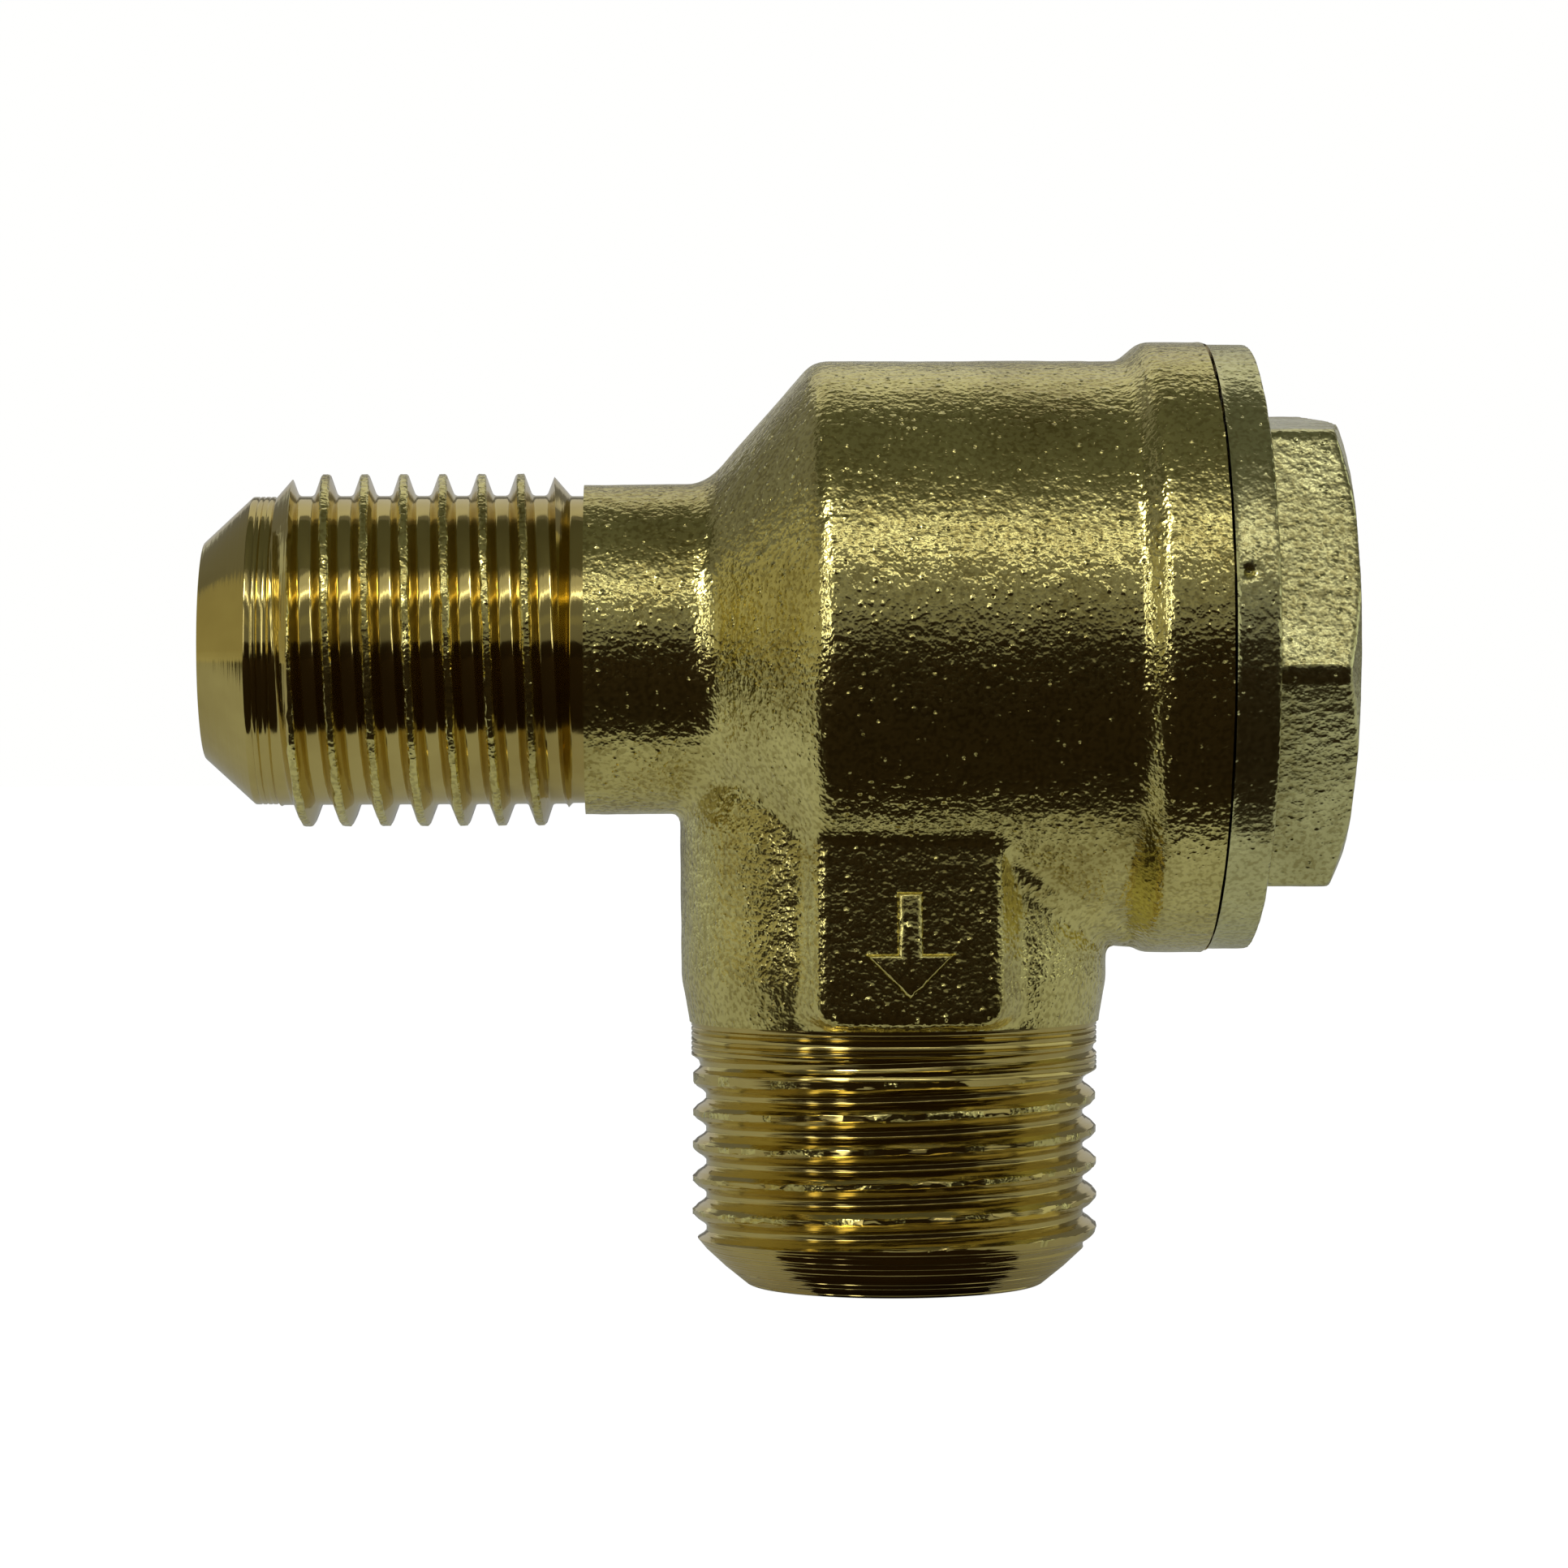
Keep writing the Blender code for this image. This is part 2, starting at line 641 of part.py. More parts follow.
def make_facing(parts, frame):
    """The rubber disc that closes on the seat's lip."""
    return turned(
        "seat_disc",
        [
            (0, FACING_BACK, 0),
            (FACING_RADIUS, FACING_BACK, 0),
            (FACING_RADIUS, FACING_FRONT, EDGE_ROUND),
            (0, FACING_FRONT, 0),
        ],
        parts,
        frame,
        along_barrel=True,
        steps=INNER_STEPS,
    )


def spring_point(turn, turns, low, high):
    """A point on the spring's centre line, whose first and last turns lie closed."""
    share = min(max((turn - 1) / (turns - 2), 0.0), 1.0)
    closed_rise = 2 * WIRE_RADIUS + FIT_GAP / 2
    rise = closed_rise * min(turn, 1) + closed_rise * max(turn - turns + 1, 0)
    height = low + rise + share * (high - low - 2 * closed_rise)
    angle = 2 * math.pi * turn
    return (SPRING_RADIUS * math.cos(angle) * MM, SPRING_RADIUS * math.sin(angle) * MM, height * MM, 1)


def make_spring(parts, frame):
    """The return spring between the poppet's plate and the end of the cap's pocket."""
    low = PLATE_BACK + FIT_GAP + WIRE_RADIUS
    high = POCKET_END_REACH - FIT_GAP - WIRE_RADIUS
    curve = bpy.data.curves.new("return_spring", "CURVE")
    curve.dimensions = "3D"
    curve.bevel_depth = WIRE_RADIUS * MM
    curve.bevel_resolution = 2
    curve.use_fill_caps = True
    count = round(SPRING_TURNS * SPRING_POINTS_PER_TURN)
    spline = curve.splines.new("POLY")
    spline.points.add(count)
    for step, point in enumerate(spline.points):
        point.co = spring_point(SPRING_TURNS * step / count, SPRING_TURNS, low, high)
    return add_object("return_spring", curve, parts, frame, along_barrel=True)


def finish_part(obj, finish):
    """Give a part its material and smooth its round faces."""
    obj.data.materials.append(new_material(*finish))
    if obj.type == "MESH":
        obj.data.shade_smooth()


def main():
    """Build the valve."""
    clear_scene()
    parts = new_collection("bypass_valve")
    cutters = new_collection("cutters")
    frame = bpy.data.objects.new("drawing_frame", None)
    parts.objects.link(frame)
    frame.location = (CENTRE_X * MM, 0, AXIS_HEIGHT * MM)
    finish_part(make_body(parts, cutters, frame), FORGED_BRASS)
    finish_part(make_cap(parts, cutters, frame), FORGED_BRASS)
    finish_part(make_seal(parts, frame), NITRILE_RUBBER)
    finish_part(make_poppet(parts, frame), TURNED_BRASS)
    finish_part(make_facing(parts, frame), FACING_RUBBER)
    finish_part(make_spring(parts, frame), SPRING_STEEL)
    for cutter in cutters.objects:
        cutter.hide_render = True
        cutter.display_type = "WIRE"


main()
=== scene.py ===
"""Looks of the elbow bypass valve: blasted brass forging, cut threads, hex cap and the sprung poppet inside.

Meshes are modelled in millimetres in the drawing frame, whose origin is where the barrel's axis crosses the
outlet's axis: X runs along the barrel from the inlet to the cap and Z runs up, away from the outlet.
"""

import json
import logging
import math
from dataclasses import dataclass, field
from enum import Enum
from typing import Iterable, Optional, Sequence

import bmesh
import bpy
from mathutils import Matrix, Vector, noise

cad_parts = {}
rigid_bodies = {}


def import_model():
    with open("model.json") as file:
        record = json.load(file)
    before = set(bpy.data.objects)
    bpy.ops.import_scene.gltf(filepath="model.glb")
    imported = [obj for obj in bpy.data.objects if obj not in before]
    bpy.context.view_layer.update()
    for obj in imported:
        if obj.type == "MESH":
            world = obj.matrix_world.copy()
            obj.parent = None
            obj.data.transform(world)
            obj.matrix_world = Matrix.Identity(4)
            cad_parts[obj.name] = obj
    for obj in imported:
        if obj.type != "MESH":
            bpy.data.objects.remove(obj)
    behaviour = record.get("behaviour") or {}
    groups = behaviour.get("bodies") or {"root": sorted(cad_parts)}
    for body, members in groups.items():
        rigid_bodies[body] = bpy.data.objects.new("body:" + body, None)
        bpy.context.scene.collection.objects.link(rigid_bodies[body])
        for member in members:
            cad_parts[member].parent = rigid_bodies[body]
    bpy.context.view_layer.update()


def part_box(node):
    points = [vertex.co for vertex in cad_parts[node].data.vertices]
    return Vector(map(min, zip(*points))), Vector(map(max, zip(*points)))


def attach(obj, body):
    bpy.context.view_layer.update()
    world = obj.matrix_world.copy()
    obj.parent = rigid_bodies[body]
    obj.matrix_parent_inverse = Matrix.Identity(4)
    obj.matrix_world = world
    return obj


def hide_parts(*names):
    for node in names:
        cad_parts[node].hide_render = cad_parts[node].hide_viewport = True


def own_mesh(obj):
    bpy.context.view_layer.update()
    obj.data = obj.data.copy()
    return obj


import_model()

logging.basicConfig(level=logging.INFO, format="%(levelname)s %(message)s")
LOG = logging.getLogger("bypass_valve")

# Lengths are in millimetres unless a name says otherwise, and steps are the flats of a turn
MM = 0.001
FULL_TURN = 2 * math.pi
TURN_STEPS = 128
INNER_STEPS = 96
THREAD_STEPS = 60
WELD = 1e-4
FACE_TOLERANCE = 0.01
SHARP_ANGLE = math.radians(38)
INLET_REACH = 27.7

# How far a form or a drill runs past a cut face, how thick a facing disc is and how far it reaches
# beyond the work, and how deep a turned end sits in the forging
OVERCUT = 1.0
FACING_DEPTH = 3.0
FACING_SPARE = 2.0
END_OVERLAP = 1.5

Corner = tuple[float, float, float]
Colour = tuple[float, float, float]
Point = tuple[float, float]
WHITE: Colour = (1.0, 1.0, 1.0)


class Axis(Enum):
    """The axes that the valve's parts are turned about."""

    BARREL = (1.0, 0.0, 0.0)
    OUTLET = (0.0, 0.0, 1.0)

    def point(self, along: float, radius: float) -> Vector:
        """Find a point of the half plane that outlines are drawn in.

        Args:
            along: distance along the axis.
            radius: distance from the axis.

        Returns:
            The point in the drawing frame.
        """
        if self is Axis.BARREL:
            return Vector((along, 0.0, -radius))
        return Vector((-radius, 0.0, along))


class Cut(Enum):
    """The ways that two solids are combined."""

    JOIN = "UNION"
    REMOVE = "DIFFERENCE"
    KEEP = "INTERSECT"


class Skin(Enum):
    """The material index of a face on the brass pieces."""

    FORGED = 0
    MACHINED = 1


@dataclass(frozen=True)
class DrawingFrame:
    """Where the drawing frame lies in the row frame, in metres.

    Args:
        origin_x: place of the outlet's axis along X.
        axis_height: height of the barrel's axis.
    """

    origin_x: float
    axis_height: float

    def matrix(self) -> Matrix:
        """The move from drawing millimetres to row metres."""
        return Matrix.Translation((self.origin_x, 0.0, self.axis_height)) @ Matrix.Scale(MM, 4)

    def place(self, x: float, y: float, z: float) -> Vector:
        """A drawing point in row metres."""
        return self.matrix() @ Vector((x, y, z))

    @classmethod
    def from_cad(cls) -> "DrawingFrame":
        """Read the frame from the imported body: its nose is its lowest X, and its flange sets the axis.

        Returns:
            The drawing frame of this part.
        """
        low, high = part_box("valve_body")
        flange_radius = (high.y - low.y) / 2
        return cls(low.x + INLET_REACH * MM, high.z - flange_radius)


DRAWING = DrawingFrame.from_cad()


def held(value: float) -> float:
    """Hold a value between 0 and 1."""
    return min(max(value, 0.0), 1.0)


def rounded(corners: Sequence[Corner], segments: int = 8) -> list[Point]:
    """Turn corners into an outline whose roundings are arcs.

    Args:
        corners: (along, radius, rounding) for each corner of a turned outline.
        segments: steps of each arc.

    Returns:
        The outline's (along, radius) points.
    """
    longest_share = 0.48
    points: list[Point] = []
    for i, (along, radius, rounding) in enumerate(corners):
        here = Vector((along, radius))
        if not rounding or i in (0, len(corners) - 1):
            points.append((along, radius))
            continue
        back = Vector(corners[i - 1][:2]) - here
        ahead = Vector(corners[i + 1][:2]) - here
        half = back.angle(ahead) / 2
        longest = longest_share * min(back.length, ahead.length)
        setback = min(rounding / math.tan(half), longest)
        arc_radius = setback * math.tan(half)
        centre = here + (back.normalized() + ahead.normalized()).normalized() * (arc_radius / math.sin(half))
        start = here + back.normalized() * setback - centre
        end = here + ahead.normalized() * setback - centre
        sweep = math.atan2(start.x * end.y - start.y * end.x, start.dot(end))
        for step in range(segments + 1):
            turn = Matrix.Rotation(sweep * step / segments, 2)
            points.append(tuple(centre + turn @ start))
    return points


def lathe(outline: Iterable[Point], axis: Axis, steps: int = TURN_STEPS) -> bmesh.types.BMesh:
    """Turn an outline into a closed solid.

    Args:
        outline: (along, radius) points, whose ends lie on the axis or meet.
        axis: the axis to turn about.
        steps: flats round the turn.

    Returns:
        The solid.
    """
    bm = bmesh.new()
    vertices = [bm.verts.new(axis.point(along, radius)) for along, radius in outline]
    edges = [bm.edges.new(pair) for pair in zip(vertices, vertices[1:])]
    bmesh.ops.spin(
        bm,
        geom=vertices + edges,
        cent=(0, 0, 0),
        axis=axis.value,
        angle=FULL_TURN,
        steps=steps,
        use_merge=True,
        use_duplicate=False,
    )
    bmesh.ops.remove_doubles(bm, verts=bm.verts, dist=WELD)
    bmesh.ops.recalc_face_normals(bm, faces=bm.faces)
    return bm


def cylinder(axis: Axis, start: float, end: float, radius: float) -> bmesh.types.BMesh:
    """Make a plain cylinder between two places along an axis."""
    return lathe([(start, 0), (start, radius), (end, radius), (end, 0)], axis)


def tool_marks(first: Point, last: Point, pitch: float, depth: float) -> list[Corner]:
    """The fine grooves that a lathe tool leaves on a straight part of an outline.

    Args:
        first: (along, radius) where the marks start.
        last: (along, radius) where they end.
        pitch: distance between the marks.
        depth: depth of the marks.

    Returns:
        Corners for an outline.
    """
    land_end, groove_end = 0.45, 0.75
    unevenness, beat = 0.25, 2.3
    start, end = Vector(first), Vector(last)
    marks = round((end - start).length / pitch)
    corners: list[Corner] = []
    for mark in range(marks):
        bite = depth * (1 - unevenness + unevenness * math.sin(beat * mark))
        for share, down in ((0.0, 0.0), (land_end, 0.0), (groove_end, bite)):
            along, radius = start.lerp(end, (mark + share) / marks)
            corners.append((along, radius - down, 0.0))
    return corners


def bevel_edges(
    bm: bmesh.types.BMesh, edges: Sequence[bmesh.types.BMEdge], offset: float, segments: int
) -> None:
    """Round or break edges of a solid.

    Args:
        bm: the solid.
        edges: the edges.
        offset: how far the bevel reaches on each side.
        segments: steps of the rounding, 1 for a plain break.
    """
    bmesh.ops.bevel(
        bm,
        geom=edges,
        offset=offset,
        offset_type="OFFSET",
        affect="EDGES",
        segments=segments,
        profile=0.5,
        material=-1,
    )


@dataclass(frozen=True)
class Dent:
    """A small pit or knock.

    Args:
        place: its middle on the surface, in the drawing frame.
        radius: reach from the middle in millimetres.
        depth: how far the middle is pushed in.
    """

    place: Corner
    radius: float
    depth: float

    def apply(self, mesh: bpy.types.Mesh, inward: Vector) -> None:
        """Push the points near the middle in.

        Args:
            mesh: the struck mesh.
            inward: the direction of the push.
        """
        middle = Vector(self.place)
        for vertex in mesh.vertices:
            near = 1 - (vertex.co - middle).length / self.radius
            if near > 0:
                vertex.co += inward * self.depth * near * near * (3 - 2 * near)


@dataclass(frozen=True)
class ThreadForm:
    """A single-start right-hand male thread, given by the groove between its crests.

    Args:
        axis: the axis that the thread runs along.
        crest: radius over the crests.
        root: radius at the bottom of the groove.
        pitch: rise of one turn.
        crest_flat: width of the land on a crest.
        root_flat: width of the groove's bottom.
        start: place of the groove's middle where the cut starts.
        end: place of the groove's middle where the cut ends.
        runout: turns over which the tool backs out at the end.
        root_round: rounding between the groove's bottom and its flanks.
        crest_break: size of the broken edges of a crest.
        ripples: tool steps on each flank of the groove.
        ripple_depth: depth of those steps.
        torn_share: noise level over which a crest is torn; -1 tears all of it.
    """

    axis: Axis
    crest: float
    root: float
    pitch: float
    crest_flat: float
    root_flat: float
    start: float
    end: float
    runout: float = 0.0
    root_round: float = 0.12
    crest_break: float = 0.07
    ripples: int = 0
    ripple_depth: float = 0.025
    torn_share: float = 0.0

    @property
    def turns(self) -> float:
        """Turns of the groove."""
        return (self.end - self.start) / self.pitch

    def outline(self) -> list[Point]:
        """Draw the groove's closed section, with a rounded root and stepped flanks.

        Returns:
            (along, radius) points, with along measured from the groove's middle.
        """
        clear, lip = 0.6, 0.01
        lead, spare = 0.7, 0.4
        mouth = (self.pitch - self.crest_flat) / 2
        upper = Vector((self.crest_break - mouth, self.crest - self.crest_break))
        lower = Vector((-self.root_flat / 2, self.root))
        lean = (lower.x - upper.x) / (upper.y - lower.y)
        across = Vector((1, lean)).normalized() * self.ripple_depth
        steps: list[Corner] = []
        for step in range(2 * self.ripples):
            share = (step + lead) / (2 * self.ripples + spare)
            spot = upper.lerp(lower, share) + across * (-1) ** step
            steps.append((spot.x, spot.y, 0.4 * self.ripple_depth))
        left = [
            (-mouth, self.crest + clear, 0.0),
            (-mouth, self.crest + lip, 0.0),
            (upper.x, upper.y, self.crest_break),
            *steps,
            (lower.x, lower.y, self.root_round),
        ]
        right = [(-along, radius, size) for along, radius, size in reversed(left)]
        return rounded(left + right, segments=3)

    def groove(self) -> bmesh.types.BMesh:
        """Sweep the helical solid that is cut away between the crests.

        Returns:
            The closed solid.
        """
        bm = bmesh.new()
        ring = [bm.verts.new(self.axis.point(self.start + along, radius)) for along, radius in self.outline()]
        edges = [bm.edges.new((ring[i - 1], ring[i])) for i in range(len(ring))]
        steps = round(self.turns * THREAD_STEPS)
        axis = Vector(self.axis.value)
        bmesh.ops.spin(
            bm,
            geom=ring + edges,
            cent=(0, 0, 0),
            axis=axis,
            dvec=axis * (self.end - self.start) / steps,
            angle=FULL_TURN * self.turns,
            steps=steps,
            use_duplicate=False,
        )
        bmesh.ops.remove_doubles(bm, verts=bm.verts, dist=WELD)
        bmesh.ops.holes_fill(bm, edges=[edge for edge in bm.edges if edge.is_boundary], sides=0)
        bmesh.ops.recalc_face_normals(bm, faces=bm.faces)
        self.back_out(bm)
        return bm

    def tear(self, mesh: bpy.types.Mesh, depth: float, low: float, high: float) -> None:
        """Roughen the crests, as a worn chaser tears them.

        Args:
            mesh: the threaded blank.
            depth: largest shift of a point in millimetres.
            low: where the thread begins along its axis.
            high: where the thread ends.
        """
        patch_size, coarse_size, fine_size = 1.1, 0.45, 0.17
        fine_share, sink_share, band = 0.5, 0.8, 0.3
        torn_radius = self.crest - 1.1 * self.crest_break
        axis = Vector(self.axis.value)
        for polygon in mesh.polygons:
            along = polygon.center.dot(axis)
            radius = (polygon.center - axis * along).length
            torn = noise.noise(polygon.center / patch_size) > self.torn_share
            if torn and radius > torn_radius and low < along < high:
                polygon.material_index = Skin.FORGED.value
        for vertex in mesh.vertices:
            along = vertex.co.dot(axis)
            outward = vertex.co - axis * along
            near = (outward.length - self.crest + band) / band
            if near <= 0 or not low < along < high:
                continue
            fine = noise.noise_vector(vertex.co / fine_size) * fine_share
            shift = noise.noise_vector(vertex.co / coarse_size) + fine
            inward = outward.normalized() * (-abs(shift.x) * sink_share)
            vertex.co += (inward + axis * shift.y) * min(near, 1.0) * depth

    def back_out(self, bm: bmesh.types.BMesh) -> None:
        """Draw the groove outwards over the run-out, as a lathe tool leaves the work.

        Args:
            bm: the groove's solid.
        """
        if not self.runout:
            return
        clearance = 0.1
        axis = Vector(self.axis.value)
        first = self.end - self.runout * self.pitch
        for vertex in bm.verts:
            along = vertex.co.dot(axis)
            outward = vertex.co - axis * along
            share = held((along - first) / (self.end - first))
            vertex.co += outward.normalized() * share * (self.crest - self.root + clearance)


class Workshop:
    """Carries out modifiers on work pieces that are not part of the scene in the end."""

    def __init__(self) -> None:
        """Open a collection for the work pieces."""
        self.collection = bpy.data.collections.new("workshop")
        bpy.context.scene.collection.children.link(self.collection)

    def lay(self, bm: bmesh.types.BMesh, skin: Skin) -> bpy.types.Object:
        """Make a work piece of a bmesh, all of one skin.

        Args:
            bm: the solid, which is freed.
            skin: the material index of its faces.

        Returns:
            The work piece.
        """
        for face in bm.faces:
            face.material_index = skin.value
        mesh = bpy.data.meshes.new("work")
        bm.to_mesh(mesh)
        bm.free()
        return self.lay_mesh(mesh)

    def lay_mesh(self, mesh: bpy.types.Mesh) -> bpy.types.Object:
        """Make a work piece of a mesh.

        Args:
            mesh: the mesh, which gets a material place for each skin.

        Returns:
            The work piece.
        """
        while len(mesh.materials) < len(Skin):
            mesh.materials.append(None)
        obj = bpy.data.objects.new("work", mesh)
        self.collection.objects.link(obj)
        return obj

    def take_up(self, obj: bpy.types.Object) -> bmesh.types.BMesh:
        """Take a work piece back as a loose solid.

        Args:
            obj: the work piece, which is used up.

        Returns:
            The solid.
        """
        solid = bmesh.new()
        solid.from_mesh(obj.data)
        bpy.data.objects.remove(obj, do_unlink=True)
        return solid

    def carried_out(self, obj: bpy.types.Object) -> bpy.types.Object:
        """Replace a work piece by one whose modifiers are carried out.

        Args:
            obj: the work piece, which is used up.

        Returns:
            The new work piece.
        """
        graph = bpy.context.evaluated_depsgraph_get()
        mesh = bpy.data.meshes.new_from_object(obj.evaluated_get(graph))
        bpy.data.objects.remove(obj, do_unlink=True)
        return self.lay_mesh(mesh)

    def combine(
        self, target: bpy.types.Object, tool: bpy.types.Object, cut: Cut, solver: str = "MANIFOLD"
    ) -> bpy.types.Object:
        """Join a tool to a work piece, or cut with it.

        Args:
            target: the work piece.
            tool: the other solid, which is used up.
            cut: how the two are combined.
            solver: Blender's Boolean solver.

        Returns:
            The new work piece.
        """
        boolean = target.modifiers.new("cut", "BOOLEAN")
        boolean.operation = cut.value
        boolean.solver = solver
        boolean.object = tool
        result = self.carried_out(target)
        bpy.data.objects.remove(tool, do_unlink=True)
        if not result.data.polygons:
            raise RuntimeError("a Boolean left nothing")
        return result

    def thread(self, blank: bmesh.types.BMesh, form: ThreadForm) -> bpy.types.Object:
        """Cut a thread into a turned blank.

        Args:
            blank: the turned solid, which is freed.
            form: the thread.

        Returns:
            The threaded work piece.
        """
        work = self.lay(blank, Skin.MACHINED)
        groove = self.lay(form.groove(), Skin.MACHINED)
        return self.combine(work, groove, Cut.REMOVE, "EXACT")

    def forged(self, solids: Sequence[bmesh.types.BMesh], voxel: float, smoothing: int) -> bpy.types.Object:
        """Melt overlapping solids into one skin with soft creases, as a forging die leaves them.

        Args:
            solids: the closed forms, which are freed.
            voxel: size of the skin's facets in millimetres.
            smoothing: rounds of smoothing, which set the fillets.

        Returns:
            The skin as a work piece.
        """
        together = bmesh.new()
        for solid in solids:
            mesh = bpy.data.meshes.new("form")
            solid.to_mesh(mesh)
            solid.free()
            together.from_mesh(mesh)
            bpy.data.meshes.remove(mesh)
        skin = self.lay(together, Skin.FORGED)
        melt = skin.modifiers.new("melt", "REMESH")
        melt.mode = "VOXEL"
        melt.voxel_size = voxel
        melt.use_smooth_shade = True
        soften = skin.modifiers.new("soften", "SMOOTH")
        soften.factor = 0.5
        soften.iterations = smoothing
        return self.carried_out(skin)

    def close(self) -> None:
        """Clear the workshop away."""
        for obj in list(self.collection.objects):
            bpy.data.objects.remove(obj, do_unlink=True)
        bpy.data.collections.remove(self.collection)


@dataclass(frozen=True)
class DieSurface:
    """The low swells that a die and blasting leave on a forging.

    Args:
        swell_size: length of the broad swells in millimetres.
        swell_height: height of the broad swells.
        dimple_size: length of the fine dimples.
        dimple_height: height of the fine dimples.
    """

    swell_size: float = 3.2
    swell_height: float = 0.035
    dimple_size: float = 0.75
    dimple_height: float = 0.014

    def apply(self, mesh: bpy.types.Mesh) -> None:
        """Move every point of a skin along its normal by the swells and dimples.

        Args:
            mesh: the skin.
        """
        bm = bmesh.new()
        bm.from_mesh(mesh)
        bm.normal_update()
        shifts = [
            self.swell_height * noise.noise(vertex.co / self.swell_size)
            + self.dimple_height * noise.noise(vertex.co / self.dimple_size)
            for vertex in bm.verts
        ]
        for vertex, shift in zip(bm.verts, shifts):
            vertex.co += vertex.normal * shift
        bm.to_mesh(mesh)
        bm.free()


def show_piece(
    obj: bpy.types.Object,
    name: str,
    materials: Sequence[bpy.types.Material],
    body: str,
    node: str,
) -> bpy.types.Object:
    """Turn a work piece into a piece of the scene, in metres in the row frame.

    Args:
        obj: the work piece.
        name: the piece's name.
        materials: its materials, in the order of Skin where it has more than one.
        body: the moving body that it rides.
        node: the plain solid that it stands for.

    Returns:
        The piece.
    """
    mesh = obj.data.copy()
    mesh.name = name
    mesh.transform(DRAWING.matrix())
    while len(mesh.materials) > len(materials):
        mesh.materials.pop(index=len(mesh.materials) - 1)
    for index, material in enumerate(materials):
        mesh.materials[index] = material
    mesh.shade_smooth()
    mesh.set_sharp_from_angle(angle=SHARP_ANGLE)
    piece = bpy.data.objects.new(name, mesh)
    bpy.context.scene.collection.objects.link(piece)
    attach(piece, body)
    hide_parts(node)
    mesh.calc_loop_triangles()
    LOG.info("%s: %d triangles", name, len(mesh.loop_triangles))
    return piece


@dataclass(frozen=True)
class WebFill:
    """A fill in the corner of barrel and stem: what a swollen barrel and a collared stem share.

    Args:
        start: where the swell begins along the barrel.
        swell: how far it stands out from the barrel.
        collar: how far it stands out from the stem.
    """

    start: float
    swell: float
    collar: float


